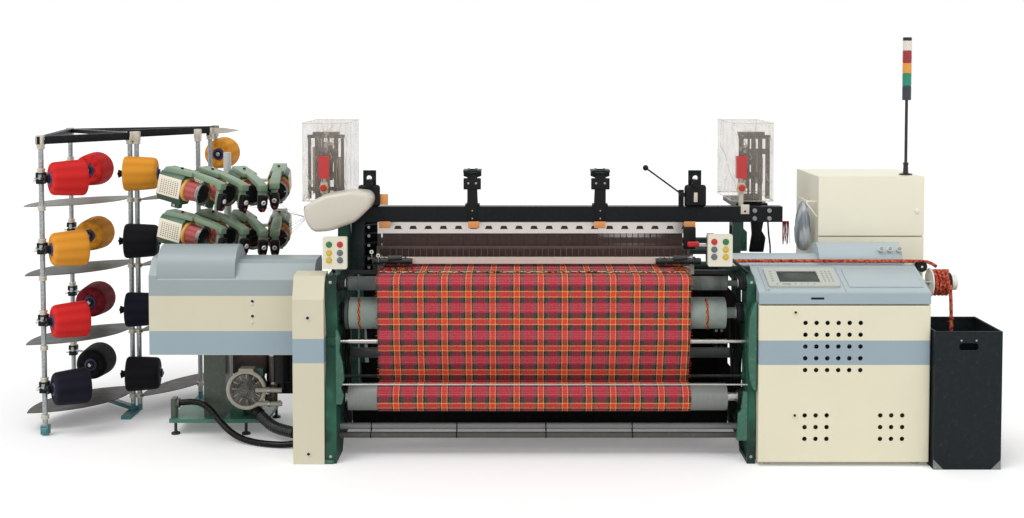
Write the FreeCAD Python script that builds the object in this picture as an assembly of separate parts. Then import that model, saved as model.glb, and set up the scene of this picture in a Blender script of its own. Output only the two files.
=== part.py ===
"""Rapier power loom with its creel, weft feeders, control cabinets and waste bin, in millimetres.

X runs along the machine's width, Y from the weaver's side to the back, Z up, with the floor at Z 0.
"""
import FreeCAD, Part
import math
import os

V = FreeCAD.Vector
os.makedirs("parts", exist_ok=True)

# ---- driving dimensions -------------------------------------------------------------------
LEFT_FRAME_X = (-860, -800)
RIGHT_FRAME_X = (1458, 1503)
CLOTH_X = (-579, 1153)
WARP_PITCH = 36
CLOTH_THICKNESS = 2.0
SHAFT_PLAY = 0.05
ROLL_GAP = 0.8

BREAST = {"y": -850, "z": 984, "r": 39}
TAKEUP = {"y": -780, "z": 805, "r": 88}
PRESS = {"y": -857, "z": 660, "r": 13.5}
CLOTH_ROLL = {"y": -850, "z": 349, "r": 79}
SLEY_SHAFT = {"y": -420, "z": 500, "r": 30}
WARP_BEAM = {"y": 500, "z": 500, "r": 300}
BACKREST = {"y": 570, "z": 984, "r": 65}
ROLLER_X = (-741, 1355)
FELL = (-520, 1030)
SLEY_LEAN = 14

BEAM_X = (-1035, 1755)
BEAM_Y = (-400, -320)
BEAM_Z = (1270, 1361)

CABINET_X = (1508, 2442)
CABINET_Y = (-1000, -480)
CABINET_Z = (20, 890)
SHEET = 3
ELECTRICAL_X = (1966, 2588)
ELECTRICAL_Y = (-400, 200)
ELECTRICAL_Z = (60, 1538)
ELECTRICAL_SILL = 1188

HOUSING_X = (-1879, -1039)
HOUSING_Y = (-750, -450)
HOUSING_Z = (560, 895)
END_COVER_X = (-1035, -864)

BIN_X = (2450, 2815)
BIN_Y = (-1050, -630)
BIN_TOP = 755
BIN_WALL = 4
DRUM = {"x": 2581, "y": -720, "z": 967, "r": 56}
ROPE_R = 9.5
ROPE_LINE = (-700, 1084.9)
HOSE_R = 18.5
HOSE_SOCKET = (-884, -600, 92)
HOSE_START = (-1836, -340, 178)

FEEDERS = {"top": (1460, 1445, 1435, 1439), "low": (1200, 1185, 1165, 1150)}
FEEDER_PLACES = ((-1763, -330, 20), (-1623, -190, 35), (-1473, -50, 55), (-1307, 100, 85))
FEEDER_TILT = 12
FEEDER_POST = (-1642, 170)

CREEL_POSTS = {
    "front": (-2605, -400),
    "rear_left": (-2785, 600),
    "middle": (-2235, 100),
    "inner": (-1885, 400),
    "inner_rear": (-1865, 640),
    "rear": (-1915, 1000),
}
CREEL_TOP = 1775
POST_R = 15
PLATE_LEVELS = (1351, 937, 523, 112)
PACKAGE_LEVELS = (1530, 1115, 690, 290)


# ---- shape helpers ------------------------------------------------------------------------
def box(x0, x1, y0, y1, z0, z1):
    return Part.makeBox(x1 - x0, y1 - y0, z1 - z0, V(x0, y0, z0))


def rod(start, end, radius):
    """Round bar between two points."""
    start, end = V(*start), V(*end)
    return Part.makeCylinder(radius, (end - start).Length, start, end - start)


def tube(start, end, radius, bore):
    return rod(start, end, radius).cut(rod(start, end, bore))


def prism(points, move):
    """A flat outline of 3-D points pushed along a vector."""
    wire = Part.makePolygon([V(*p) for p in points] + [V(*points[0])])
    return Part.Face(wire).extrude(V(*move))


def prism_x(outline, x0, x1):
    """An outline of (y, z) points pushed along X."""
    return prism([(x0, y, z) for y, z in outline], (x1 - x0, 0, 0))


def prism_y(outline, y0, y1):
    """An outline of (x, z) points pushed along Y."""
    return prism([(x, y0, z) for x, z in outline], (0, y1 - y0, 0))


def prism_z(outline, z0, z1):
    """An outline of (x, y) points pushed up."""
    return prism([(x, y, z0) for x, y in outline], (0, 0, z1 - z0))


def fuse(shapes):
    return shapes[0].multiFuse(shapes[1:]).removeSplitter()


def cut(shape, tools):
    return shape.cut(Part.makeCompound(tools)) if tools else shape


def round_edges(shape, radius, test):
    """Rounds the edges that a test on the edge's two ends picks."""
    chosen = [e for e in shape.Edges if len(e.Vertexes) == 2 and test(e.Vertexes[0].Point, e.Vertexes[1].Point)]
    return shape.makeFillet(radius, chosen)


def along(axis):
    """Test for edges that run along an axis."""
    others = [name for name in "xyz" if name != axis]

    def test(a, b):
        return all(abs(getattr(a, name) - getattr(b, name)) < 0.01 for name in others)

    return test


def turned(profile, base, direction):
    """Solid of revolution: profile is (distance along the axis, radius) points from end to end."""
    points = [V(0, 0, profile[0][0])] + [V(r, 0, h) for h, r in profile] + [V(0, 0, profile[-1][0])]
    corners = []
    for point in points:
        if not corners or (point - corners[-1]).Length > 1e-6:
            corners.append(point)
    face = Part.Face(Part.makePolygon(corners + [corners[0]]))
    solid = face.revolve(V(0, 0, 0), V(0, 0, 1), 360)
    solid.Placement = FreeCAD.Placement(V(*base), FreeCAD.Rotation(V(0, 0, 1), V(*direction)))
    return solid


def turned_about_x(shape, centre, degrees):
    """A copy turned about a line along X through (y, z)."""
    copy = shape.copy()
    copy.rotate(V(0, centre[0], centre[1]), V(1, 0, 0), degrees)
    return copy


def save(node, solids):
    """Writes one sub-part, as one solid or a group of separate ones."""
    shapes = [solid for shape in solids for solid in shape.Solids]
    whole = shapes[0] if len(shapes) == 1 else Part.makeCompound(shapes)
    whole.exportStep("parts/" + node + ".step")
    SAVED[node] = whole


SAVED = {}


def route_path(points):
    """Straight runs joined by the largest tangent arcs that they leave room for; prints the radii."""
    points = [V(*p) for p in points]
    edges, radii, at = [], [], points[0]
    for before, corner, after in zip(points, points[1:], points[2:]):
        into = (corner - before).normalize()
        out = (after - corner).normalize()
        half_turn = into.getAngle(out) / 2
        reach = 0.45 * min((corner - before).Length, (after - corner).Length)
        radius = reach / math.tan(half_turn)
        radii.append(round(radius))
        start = corner - into * reach
        end = corner + out * reach
        middle = corner + (out - into).normalize() * (radius / math.cos(half_turn) - radius)
        edges.append(Part.LineSegment(at, start).toShape())
        edges.append(Part.Arc(start, middle, end).toShape())
        at = end
    edges.append(Part.LineSegment(at, points[-1]).toShape())
    print("arc radii", radii)
    return Part.Wire(edges)


def route_tube(points, radius):
    """A plain tube along a route, with its volume checked against section times length."""
    path = route_path(points)
    first = path.Edges[0]
    circle = Part.makeCircle(radius, first.valueAt(first.FirstParameter), first.tangentAt(first.FirstParameter))
    solid = path.makePipeShell([Part.Wire(circle)], True, False)
    print("tube volume over section times length", round(solid.Volume / (math.pi * radius**2 * path.Length), 4))
    return solid


# ---- frame of the machine -----------------------------------------------------------------
FRAME_OUTLINE = (
    (-945, 0), (-700, 0), (-660, 55), (260, 55), (300, 0), (700, 0), (700, 70), (650, 300), (610, 620), (665, 900),
    (665, 1020), (610, 1075), (480, 1075), (420, 1010), (260, 1010), (250, 1105), (150, 1105),
    (140, 1010), (-270, 1010), (-300, 1270), (-420, 1270), (-440, 1040),
    (-520, 1028), (-860, 1028), (-918, 990), (-905, 860), (-870, 700), (-885, 560), (-925, 420), (-945, 250),
)
FRAME_WINDOWS = (
    ((-740, 140), (-490, 140), (-490, 430), (-560, 640), (-700, 600), (-740, 480)),
    ((-340, 140), (0, 140), (0, 920), (-300, 920), (-300, 560), (-340, 480)),
    ((90, 140), (380, 140), (330, 420), (330, 620), (400, 930), (90, 930)),
    ((-660, 720), (-560, 760), (-490, 660), (-460, 880), (-510, 960), (-660, 940)),
)
RIM = 24
RECESS = 14
PIPES = ((-780, 164, 18), (-815, 124, 16.5), (60, 120, 38), (640, 62, 36), (-745, 440, 9), (-120, 965, 30))


def bores():
    """Every shaft that the side frames carry, as (y, z, radius)."""
    shafts = [(d["y"], d["z"], r) for d, r in (
        (BREAST, 16), (TAKEUP, 30), (PRESS, 10), (CLOTH_ROLL, 25), (SLEY_SHAFT, 30), (WARP_BEAM, 45), (BACKREST, 25)
    )]
    return shafts


def side_frame(inner, outer):
    """Cast side wall: recessed outline with windows, bearing bosses and feet."""
    outline = Part.Face(Part.makePolygon([V(inner, y, z) for y, z in FRAME_OUTLINE + FRAME_OUTLINE[:1]]))
    body = outline.extrude(V(outer - inner, 0, 0))
    recess = outline.makeOffset2D(-RIM).extrude(V(RECESS, 0, 0))
    body = body.cut(recess)
    for window in FRAME_WINDOWS:
        body = body.cut(prism_x(window, inner - 1, outer + 1))
    bosses = [rod((inner, y, z), (outer, y, z), r + 26) for y, z, r in bores()]
    pads = [rod((inner, y, z), (outer, y, z), r + 14) for y, z, r in PIPES]
    body = fuse([body] + bosses + pads)
    holes = [rod((inner - 1, y, z), (outer + 1, y, z), r + SHAFT_PLAY) for y, z, r in bores()]
    return cut(body, holes)


def frames():
    left = side_frame(*LEFT_FRAME_X)
    right = side_frame(*RIGHT_FRAME_X)
    _, sy, sz = HOSE_SOCKET
    socket = tube((LEFT_FRAME_X[0] - 34, sy, sz), (LEFT_FRAME_X[0], sy, sz), 29, HOSE_R + 3)
    left = fuse([left, socket])
    ry, rz = ROPE_LINE
    eye = rod((1335, ry, rz), (1355, ry, rz), 30)
    holder = box(1335, RIGHT_FRAME_X[1], ry - 8, ry + 8, 1040, 1056)
    block = box(*RIGHT_FRAME_X, ry - 20, ry + 20, 1020, 1056)
    right = fuse([right, eye, holder, block]).cut(rod((1330, ry, rz), (1360, ry, rz), ROPE_R + 1.5))
    save("left_side_frame", [left])
    save("right_side_frame", [right])
    inner = (LEFT_FRAME_X[1], RIGHT_FRAME_X[0])
    members = [rod((inner[0], y, z), (inner[1], y, z), r) for y, z, r in PIPES]
    stop_rails = []
    for z in (1012, 1082):
        for y in (170, 230):
            stop_rails.append(box(inner[0], inner[1], y - 8, y + 8, z - 14, z + 14))
    save("cross_members", members + [rail.cut(left).cut(right) for rail in stop_rails])


def rollers():
    """Front and rear rollers with their shafts in the side frames' bearings."""
    x0, x1 = ROLLER_X
    ends = (LEFT_FRAME_X[0] + 12, RIGHT_FRAME_X[1] - 10)

    def roller(place, shaft_r, body_r):
        barrel = rod((x0, place["y"], place["z"]), (x1, place["y"], place["z"]), body_r)
        shaft = rod((ends[0], place["y"], place["z"]), (ends[1], place["y"], place["z"]), shaft_r)
        return fuse([barrel, shaft])

    save("breast_roller", [roller(BREAST, 16, BREAST["r"])])
    flange = rod((x0 - 22, TAKEUP["y"], TAKEUP["z"]), (x0 - 4, TAKEUP["y"], TAKEUP["z"]), TAKEUP["r"] + 4)
    save("takeup_roller", [fuse([roller(TAKEUP, 30, TAKEUP["r"]), flange])])
    save("press_roller", [roller(PRESS, 10, PRESS["r"])])
    cloth = rod((CLOTH_X[0], CLOTH_ROLL["y"], CLOTH_ROLL["z"]), (CLOTH_X[1], CLOTH_ROLL["y"], CLOTH_ROLL["z"]),
                CLOTH_ROLL["r"])
    save("cloth_roll", [fuse([roller(CLOTH_ROLL, 25, 74.5), cloth])])
    save("backrest_roller", [roller(BACKREST, 25, BACKREST["r"])])
    y, z = WARP_BEAM["y"], WARP_BEAM["z"]
    wound = rod((CLOTH_X[0] - 6, y, z), (CLOTH_X[1] + 6, y, z), WARP_BEAM["r"])
    flanges = [
        turned(((0, 400), (8, 400), (14, 392), (14, 120), (30, 100)), (face, y, z), (side, 0, 0))
        for face, side in ((CLOTH_X[0] - 6, -1), (CLOTH_X[1] + 6, 1))
    ]
    shaft = rod((ends[0], y, z), (ends[1], y, z), 45)
    save("warp_beam", [fuse([wound, shaft] + flanges)])


# ---- sley, reed and heddles ---------------------------------------------------------------
def warp_places():
    """Middle of every gap between warp bundles, where a dent or a heddle stands."""
    count = int((CLOTH_X[1] - CLOTH_X[0]) / WARP_PITCH)
    first = (CLOTH_X[0] + CLOTH_X[1] - (count - 1) * WARP_PITCH) / 2
    return [first + i * WARP_PITCH for i in range(count)]


def sley_and_reed():
    """Built upright, as at beat-up, then leaned back to rest."""
    y, z = SLEY_SHAFT["y"], SLEY_SHAFT["z"]
    x0, x1 = CLOTH_X[0] - 60, CLOTH_X[1] + 60
    reed_y = (y - 95, y - 81)
    shaft = rod((LEFT_FRAME_X[0] + 12, y, z), (RIGHT_FRAME_X[1] - 10, y, z), SLEY_SHAFT["r"])
    beam = prism_x(((y - 100, 950), (y - 40, 950), (y - 40, 985), (y - 74, 1000), (y - 100, 1000)), x0, x1)
    beam = beam.cut(box(x0 - 1, x1 + 1, reed_y[0], reed_y[1], 986, 1001))
    sword_outline = ((y - 34, z - 26), (y + 34, z - 26), (y + 34, z + 60), (y - 45, 950), (y - 95, 950))
    swords = [prism_x(sword_outline, x - 9, x + 9) for x in (x0 + 30, (x0 + x1) / 2, x1 - 30)]
    sley = fuse([shaft, beam] + swords)
    reed = box(x0, x1, reed_y[0], reed_y[1], 986, 1120)
    gaps = []
    dents = [x0 + 14] + warp_places() + [x1 - 14]
    for a, b in zip(dents, dents[1:]):
        gaps.append(box(a + 3, b - 3, reed_y[0] - 1, reed_y[1] + 1, 1004, 1106))
    reed = cut(reed, gaps)
    save("sley", [turned_about_x(sley, (y, z), -SLEY_LEAN)])
    save("reed", [turned_about_x(reed, (y, z), -SLEY_LEAN)])


def heddle_frames():
    """Four light frames, each with a slotted top rail, a bottom rail and a row of heddles."""
    x0, x1 = CLOTH_X[0] - 60, CLOTH_X[1] + 60
    for number in range(4):
        y = -316 + number * 15
        thick = 9
        rails = [box(x0, x1, y, y + thick, 1193, 1260), box(x0, x1, y, y + thick, 800, 850)]
        sides = [box(x0, x0 + 18, y, y + thick, 850, 1193), box(x1 - 18, x1, y, y + thick, 850, 1193)]
        places = warp_places()[number % 2::2]
        heddles = [box(x - 1.5, x + 1.5, y + 3, y + 6, 850, 1193) for x in places]
        frame = fuse(rails + sides + heddles)
        if number == 0:
            slots = []
            for i in range(20):
                x = -540 + i * 90
                slots.append(prism_y(((x, 1218), (x + 46, 1218), (x + 38, 1238), (x + 8, 1238)), y - 1, y + 4))
            frame = cut(frame, slots)
        save("heddle_frame_" + str(number + 1), [frame])


# ---- warp and cloth -----------------------------------------------------------------------
def belt_section(stops, thickness):
    """Closed (y, z) section of a sheet that runs over rollers.

    A stop is (y, z, reach): the sheet passes that far to the left of the roller's middle as it travels, or to the
    right where reach is negative. Thickness is added on the left, or on the right where it is negative.
    """

    def line(grow):
        """Tangent runs and arcs of one face of the sheet."""
        edges, at, last_normal = [], None, None
        for (ay, az, reach_a), (by, bz, reach_b) in zip(stops, stops[1:]):
            offset_a, offset_b = reach_a + grow, reach_b + grow
            span = math.hypot(by - ay, bz - az)
            heading = math.atan2(bz - az, by - ay) - math.asin((offset_a - offset_b) / span)
            normal = (-math.sin(heading), math.cos(heading))
            start = (ay + offset_a * normal[0], az + offset_a * normal[1])
            end = (by + offset_b * normal[0], bz + offset_b * normal[1])
            if at is not None:
                mean = (normal[0] + last_normal[0], normal[1] + last_normal[1])
                size = offset_a / math.hypot(*mean)
                bend = (ay + mean[0] * size, az + mean[1] * size)
                edges.append(Part.Arc(V(0, *at), V(0, *bend), V(0, *start)).toShape())
            edges.append(Part.LineSegment(V(0, *start), V(0, *end)).toShape())
            at, last_normal = end, normal
        return edges

    near, far = line(0), line(thickness)
    caps = [Part.LineSegment(near[i].Vertexes[v].Point, far[i].Vertexes[v].Point).toShape() for i, v in ((0, 0), (-1, 1))]
    return Part.Face(Part.Wire(Part.__sortEdges__(near + far + caps)))


def cloth_and_warp():
    """The woven cloth from the fell to its roll, and the warp from the fell back to its beam."""
    x0, x1 = CLOTH_X
    cloth_stops = (
        (FELL[0], FELL[1], 0),
        (BREAST["y"], BREAST["z"], -BREAST["r"] - ROLL_GAP),
        (PRESS["y"], PRESS["z"], -PRESS["r"] - ROLL_GAP),
        (CLOTH_ROLL["y"], CLOTH_ROLL["z"], CLOTH_ROLL["r"] + ROLL_GAP + CLOTH_THICKNESS),
    )
    cloth = belt_section(cloth_stops, -CLOTH_THICKNESS).extrude(V(x1 - x0, 0, 0))
    cloth.translate(V(x0, 0, 0))
    save("cloth", [cloth])
    warp_stops = (
        (FELL[0], FELL[1], 0),
        (BACKREST["y"], BACKREST["z"], BACKREST["r"] + ROLL_GAP),
        (WARP_BEAM["y"], WARP_BEAM["z"], WARP_BEAM["r"] + ROLL_GAP),
    )
    warp = belt_section(warp_stops, CLOTH_THICKNESS).extrude(V(x1 - x0, 0, 0))
    warp.translate(V(x0, 0, 0))
    slots = [box(x - 4, x + 4, FELL[0] + 2, -255, FELL[1] - 30, FELL[1] + 60) for x in warp_places()]
    save("warp_sheet", [cut(warp, slots)])


# ---- top of the loom ----------------------------------------------------------------------
T_BRACKET_X = ((-104, -39), (646, 717))
HOOD_Z = (1380, 1852)
HOOD_Y = (-300, 290)
HOODS_X = ((-1094, -819), (1470, 1727))
LEVER_PIVOT = (1160, -432, 1435)
LEVER_KNOB = (944, -432, 1593)
KNOB_R = 17


def top_beam():
    """Black cross beam with its bolts, two head brackets and the yarn guide brackets."""
    y0, y1 = BEAM_Y
    z0, z1 = BEAM_Z
    beam = box(BEAM_X[0], BEAM_X[1], y0, y1, z0, z1)
    beam = beam.cut(box(BEAM_X[0] - 1, BEAM_X[1] + 1, y0 + 8, y1 + 1, z0 + 8, z1 - 8))
    pieces = [beam]
    for x in (1590, 1676):
        for z in (1292, 1338):
            pieces.append(turned(((0, 13), (9, 13), (11, 11)), (x, y0, z), (0, -1, 0)))
    for x0, x1 in T_BRACKET_X:
        neck = prism_y(((x0, z1), (x1, z1), (x1 - 8, 1530), (x1 + 20, 1540), (x1 + 20, 1577), (x0 - 20, 1577),
                        (x0 - 20, 1540), (x0 + 8, 1530)), y0 + 20, y1 - 20)
        head = box(x0 - 20, x1 + 20, y0 - 25, y1 + 25, 1565, 1577)
        window = box(x0 + 6, x1 - 6, y0 - 10, y1 + 10, 1560, 1580)
        foot = box(x0 - 10, x1 + 10, y0 + 8, y1, z1, z1 + 14)
        holes = [rod(((x0 + x1) / 2, y0, z), ((x0 + x1) / 2, y1, z), 14) for z in (1430, 1480)]
        pieces.append(cut(fuse([neck, head, foot]), [window] + holes))
    for x in (-676, 1238):
        stand = box(x - 38, x + 38, y0 + 8, y0 + 22, z1, 1575)
        ring = turned(((0, 34), (26, 34)), (x, y0 + 8, 1530), (0, -1, 0)).cut(
            rod((x, y0 + 30, 1530), (x, y0 - 30, 1530), 17))
        notch = box(x - 22, x + 22, y0, y0 + 40, 1390, 1470)
        pieces.append(fuse([stand.cut(notch), ring]).cut(rod((x, y0 - 30, 1530), (x, y0 + 30, 1530), 17)))
    x, y, z = LEVER_PIVOT
    post = box(x - 16, x + 14, y0 + 8, y0 + 30, z1, z + 24)
    pin = rod((x, y0 + 10, z), (x, y - 16, z), 6)
    pieces.append(fuse([post, pin]))
    save("top_beam", pieces)
    hub = rod((x, y - 9, z), (x, y + 9, z), 15).cut(rod((x, y - 20, z), (x, y + 20, z), 6 + SHAFT_PLAY))
    reach = V(*LEVER_KNOB) - V(x, y, z)
    length = reach.Length
    ball = [(length + KNOB_R * math.sin(math.radians(a)), KNOB_R * math.cos(math.radians(a)))
            for a in range(-70, 90, 20)]
    arm = turned([(11, 5), (length - 16, 5)] + ball, (x, y, z), tuple(reach.normalize()))
    save("hand_lever", [fuse([hub, arm])])


def selvedge_units():
    """Clear hoods over the selvedge heads, with the frames and rods of the heads inside."""
    hoods, units = [], []
    z0, z1 = HOOD_Z
    for x0, x1 in HOODS_X:
        y0, y1 = HOOD_Y
        outer = round_edges(box(x0, x1, y0, y1, z0, z1), 28, along("z"))
        inner = round_edges(box(x0 + 3, x1 - 3, y0 + 3, y1 - 3, z0 - 1, z1 - 3), 25, along("z"))
        hoods.append(outer.cut(inner))
        middle = (x0 + x1) / 2
        plate = box(middle - 70, middle + 70, y0 + 90, y0 + 105, z0 - 30, z1 - 60)
        plate = cut(plate, [box(middle - 45, middle + 45, y0 + 80, y0 + 110, z, z + 90) for z in (1420, 1550, 1680)])
        base = box(middle - 95, middle + 95, y0 + 40, y1 - 60, z0 - 44, z0 - 14)
        bars = [rod((middle + dx, y0 + 60, z0 - 20), (middle + dx, y0 + 60, z1 - 70), 7) for dx in (-55, -18, 18, 55)]
        top = box(middle - 75, middle + 75, y0 + 45, y0 + 130, z1 - 78, z1 - 60)
        motor = rod((middle, y0 + 105, 1640), (middle, y0 + 240, 1640), 48)
        leg = box(middle - 40, middle + 40, y0 + 45, y1 - 90, BEAM_Z[0] + 12, z0 - 44)
        units.append(fuse([plate, base, top, motor, leg] + bars))
    save("selvedge_hoods", hoods)
    save("selvedge_units", units)


# ---- controls -----------------------------------------------------------------------------
PANELS = {"left": (-874, -741, 1072, 1248), "right": (1242, 1376, 1087, 1263)}
PANEL_Y = (-915, -890)
ESTOP_POSTS = {"left": -949, "right": 1518}
BUTTONS = {
    "left": (("green_left", 0.27, 0.77), ("yellow_left_upper", 0.27, 0.51), ("yellow_left_lower", 0.27, 0.28),
             ("red_left", 0.72, 0.77), ("black_left_upper", 0.72, 0.51), ("black_left_lower", 0.72, 0.28)),
    "right": (("red_right", 0.25, 0.77), ("green_right", 0.72, 0.77), ("black_right_upper", 0.25, 0.53),
              ("yellow_right_upper", 0.72, 0.53), ("black_right_lower", 0.25, 0.30),
              ("yellow_right_lower", 0.72, 0.30)),
}
BUTTON_TRAVEL = 4


def controls():
    """Two button boxes, two emergency-stop posts, and the buttons that move in them."""
    y0, y1 = PANEL_Y
    pieces = []
    for side, (x0, x1, z0, z1) in PANELS.items():
        panel = round_edges(box(x0, x1, y0, y1 + 15, z0, z1), 9, along("y"))
        wells = []
        for name, across, up in BUTTONS[side]:
            x = x0 + across * (x1 - x0)
            z = z0 + up * (z1 - z0)
            wells.append(rod((x, y0 - 1, z), (x, y0 + 14, z), 12.5))
            cap = turned(((0, 12), (15, 12), (17, 10)), (x, y0 + 9, z), (0, -1, 0))
            save("button_" + name, [cap])
        panel = cut(panel, wells)
        arm_x = x0 + 35 if side == "left" else x1 - 20
        frame_x = LEFT_FRAME_X if side == "left" else RIGHT_FRAME_X
        arm = box(arm_x - 14, arm_x + 14, y1 + 15, y1 + 27, z0 + 20, z0 + 90)
        reach = rod((arm_x, y1 + 20, z0 + 50), ((frame_x[0] + frame_x[1]) / 2, -790, 1035), 9)
        pieces.append(fuse([panel, arm, reach]))
    for side, x in ESTOP_POSTS.items():
        y = HOOD_Y[0] - 62
        bottom = BEAM_Z[1]
        post = box(x - 12, x + 12, y, y + 22, bottom, 1500)
        collar = box(x - 20, x + 20, y - 6, y + 26, 1440, 1500)
        lamp = box(x - 30, x + 30, y - 14, y + 34, 1525, 1656)
        spine = box(x - 9, x + 9, y + 8, y + 26, 1490, 1530)
        well = rod((x, y - 7, 1470), (x, y + 8, 1470), 8.6)
        pieces.append(fuse([post, collar, lamp, spine]).cut(well))
        head = turned(((-7, 8.5), (6, 8.5), (8, 19), (20, 20), (25, 15)), (x, y - 6, 1470), (0, -1, 0))
        save("estop_" + side, [head])
    frames_now = [SAVED["left_side_frame"], SAVED["right_side_frame"], SAVED["top_beam"]]
    save("control_posts", [cut(piece, frames_now) for piece in pieces])


def rapier_hood():
    """Rounded beige hood over the left rapier head, tilted as it sits on its arm."""
    outline = ((-1051, 1356), (-891, 1446), (-683, 1459), (-657, 1342), (-787, 1237), (-980, 1208), (-1047, 1303))
    shell = prism_y(outline, -630, -428)
    shell = round_edges(shell, 26, lambda a, b: True)
    hollow = prism_y(tuple((x * 0.9 - 87, z * 0.9 + 134) for x, z in outline), -600, -400)
    save("rapier_hood", [shell.cut(hollow)])


def temples():
    """Bright bar over the cloth fell, with a ribbed temple at each edge of the cloth."""
    y = FELL[0] - 25
    bar = box(CLOTH_X[0] - 61, CLOTH_X[1] + 63, y, y + 14, FELL[1] + 16, FELL[1] + 54)
    ends = []
    for x0, x1 in ((-636, -410), (990, 1250)):
        body = rod((x0, y - 34, FELL[1] + 36), (x1, y - 34, FELL[1] + 36), 17)
        yoke = box(x0, x1, y - 20, y, FELL[1] + 22, FELL[1] + 50)
        ends.append(fuse([body, yoke]))
    brackets = []
    for drop, wall in ((-640, LEFT_FRAME_X[1]), (1192, RIGHT_FRAME_X[0])):
        brackets.append(box(drop, drop + 24, y, y + 14, FELL[1] - 46, FELL[1] + 42))
        brackets.append(box(min(drop, wall), max(drop, wall), y, y + 14, FELL[1] - 46, FELL[1] - 22))
    bridge = fuse([bar] + ends + brackets)
    save("temples", [bridge.cut(SAVED["left_side_frame"]).cut(SAVED["right_side_frame"])])


# ---- left housing -------------------------------------------------------------------------
def left_housing():
    """Grey top cover with its half-barrel, the cream panel under it, and the end cover at the corner."""
    x0, x1 = HOUSING_X
    y0, y1 = HOUSING_Y
    z0, z1 = HOUSING_Z
    outer = box(x0, x1, y0, y1, z0, z1)
    inner = box(x0 + SHEET, x1 - SHEET, y0 + SHEET, y1 - SHEET, z0 - 1, z1 - SHEET)
    panel = outer.cut(inner)
    bolts = [turned(((0, 9), (3, 9), (5, 6)), (-1300, y0, z), (0, -1, 0)) for z in (745, 850)]
    save("left_housing_panel", [panel] + bolts)
    mid = (y0 + y1) / 2
    barrel = rod((x0 + 45, mid, 1020), (-1395, mid, 1020), 148)
    keep = box(x0 - 1, x1 + 400, y0, y1, z1, 1400)
    low_cover = prism_x(((y0, z1), (y0, 985), (y0 + 60, 1070), (y0 + 110, 1087), (y1 - 20, 1087), (y1, 1060), (y1, z1)),
                        x0 + 8, x1 + 90)
    cap = prism_x(((y0, z1), (y0, 1010), (y0 + 70, 1100), (y1 - 60, 1110), (y1, 1020), (y1, z1)), x0, x0 + 46)
    save("left_housing_cover", [fuse([barrel, low_cover, cap]).common(keep)])
    ex0, ex1 = END_COVER_X
    side = ((-960, 0), (-960, 911), (-905, 1035), (-795, 1045), (-770, 1000), (-770, 0))
    post = prism_x(side, ex0, ex1)
    bore = prism_x(((-956, -1), (-956, 909), (-902, 1031), (-797, 1041), (-760, 1010), (-760, -1)), ex0 + 4, ex1 - 4)
    screws = [turned(((0, 9), (3, 9), (5, 6)), (-950, -960, z), (0, -1, 0)) for z in (60, 812)]
    save("left_end_cover", [post.cut(bore)] + screws)


# ---- right cabinets -----------------------------------------------------------------------
HOLE_PITCH = (60, 64.7)
HOLE_GROUPS = (((1761, 792), (6, 5)), ((1761, 284), (3, 3)), ((2173, 284), (3, 3)))
DOOR_Z = (24, 886)
GUIDE = (2478, 1055)


def cabinet_box(x, y, z, wall):
    """Sheet-metal box, open at the front (-Y)."""
    outer = box(x[0], x[1], y[0], y[1], z[0], z[1])
    return outer.cut(box(x[0] + wall, x[1] - wall, y[0] - 1, y[1] - wall, z[0] + wall, z[1] - wall))


def control_cabinet():
    x, y, z = CABINET_X, CABINET_Y, CABINET_Z
    back = y[0] + 22
    body = cabinet_box(x, (back, y[1]), z, SHEET)
    feet = [turned(((0, 22), (8, 22), (12, 10), (20, 10)), (fx, fy, 0), (0, 0, 1))
            for fx in (x[0] + 60, x[1] - 60) for fy in (back + 50, y[1] - 50)]
    shelf = box(x[0] + SHEET, x[1] - SHEET, back + 160, y[1] - SHEET, 430, 433)
    save("control_cabinet", [fuse([body, shelf])] + feet + [drum_bracket()])
    door = box(x[0], x[1], y[0], back - 1, DOOR_Z[0], DOOR_Z[1])
    door = round_edges(door, 8, lambda a, b: abs(a.y - y[0]) < 0.1 and abs(b.y - y[0]) < 0.1)
    door = door.cut(box(x[0] + 12, x[1] - 12, y[0] + SHEET, back + 1, DOOR_Z[0] + 12, DOOR_Z[1] - 12))
    holes = []
    for (hx, hz), (across, down) in HOLE_GROUPS:
        for i in range(across):
            for j in range(down):
                px, pz = hx + i * HOLE_PITCH[0], hz - j * HOLE_PITCH[1]
                holes.append(rod((px, y[0] - 1, pz), (px, y[0] + SHEET + 1, pz), 12.5))
    door = cut(door, holes)
    latches = [turned(((0, 15), (3, 15), (6, 11)), (x[0] + 197, y[0], zz), (0, -1, 0))
               for zz in (851, 286)]
    save("cabinet_door", [fuse([door] + latches)])


def console():
    """Sloped blue-grey console on the control cabinet, with hump, lamps, and the cream display panel."""
    x0, x1 = CABINET_X
    side = ((-1000, 895), (-1000, 951), (-965, 968), (-700, 1060), (-470, 1060), (-470, 895))
    body = prism_x(side, x0, x1)
    hump = rod((1910, -555, 1053), (2385, -555, 1053), 120)
    hump = hump.common(box(1900, 2400, -700, -300, 1040, 1200))
    low = rod((x0 - 88, -560, 1012), (1910, -560, 1012), 98)
    low = low.common(box(x0 - 90, 1912, -700, -470, 1044, 1200))
    lamps = [rod((lx, -640, 1128), (lx, -668, 1150), 13) for lx in (2262, 2312, 2364)]
    slope = math.degrees(math.atan2(1060 - 968, 265))
    cover = fuse([body, hump, low] + lamps)
    frame = box(0, 390, 0, 210, 0, 14)
    frame = round_edges(frame, 12, along("z"))
    screen = box(66, 288, 42, 168, 8, 20)
    panel = frame.cut(screen)
    whole = panel.cut(box(80, 120, 12, 26, 8, 20))
    whole.rotate(V(0, 0, 0), V(1, 0, 0), slope)
    whole.translate(V(1572, -948, 974.2))
    save("console_cover", [cover.cut(whole)])
    save("display_panel", [whole])


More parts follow.
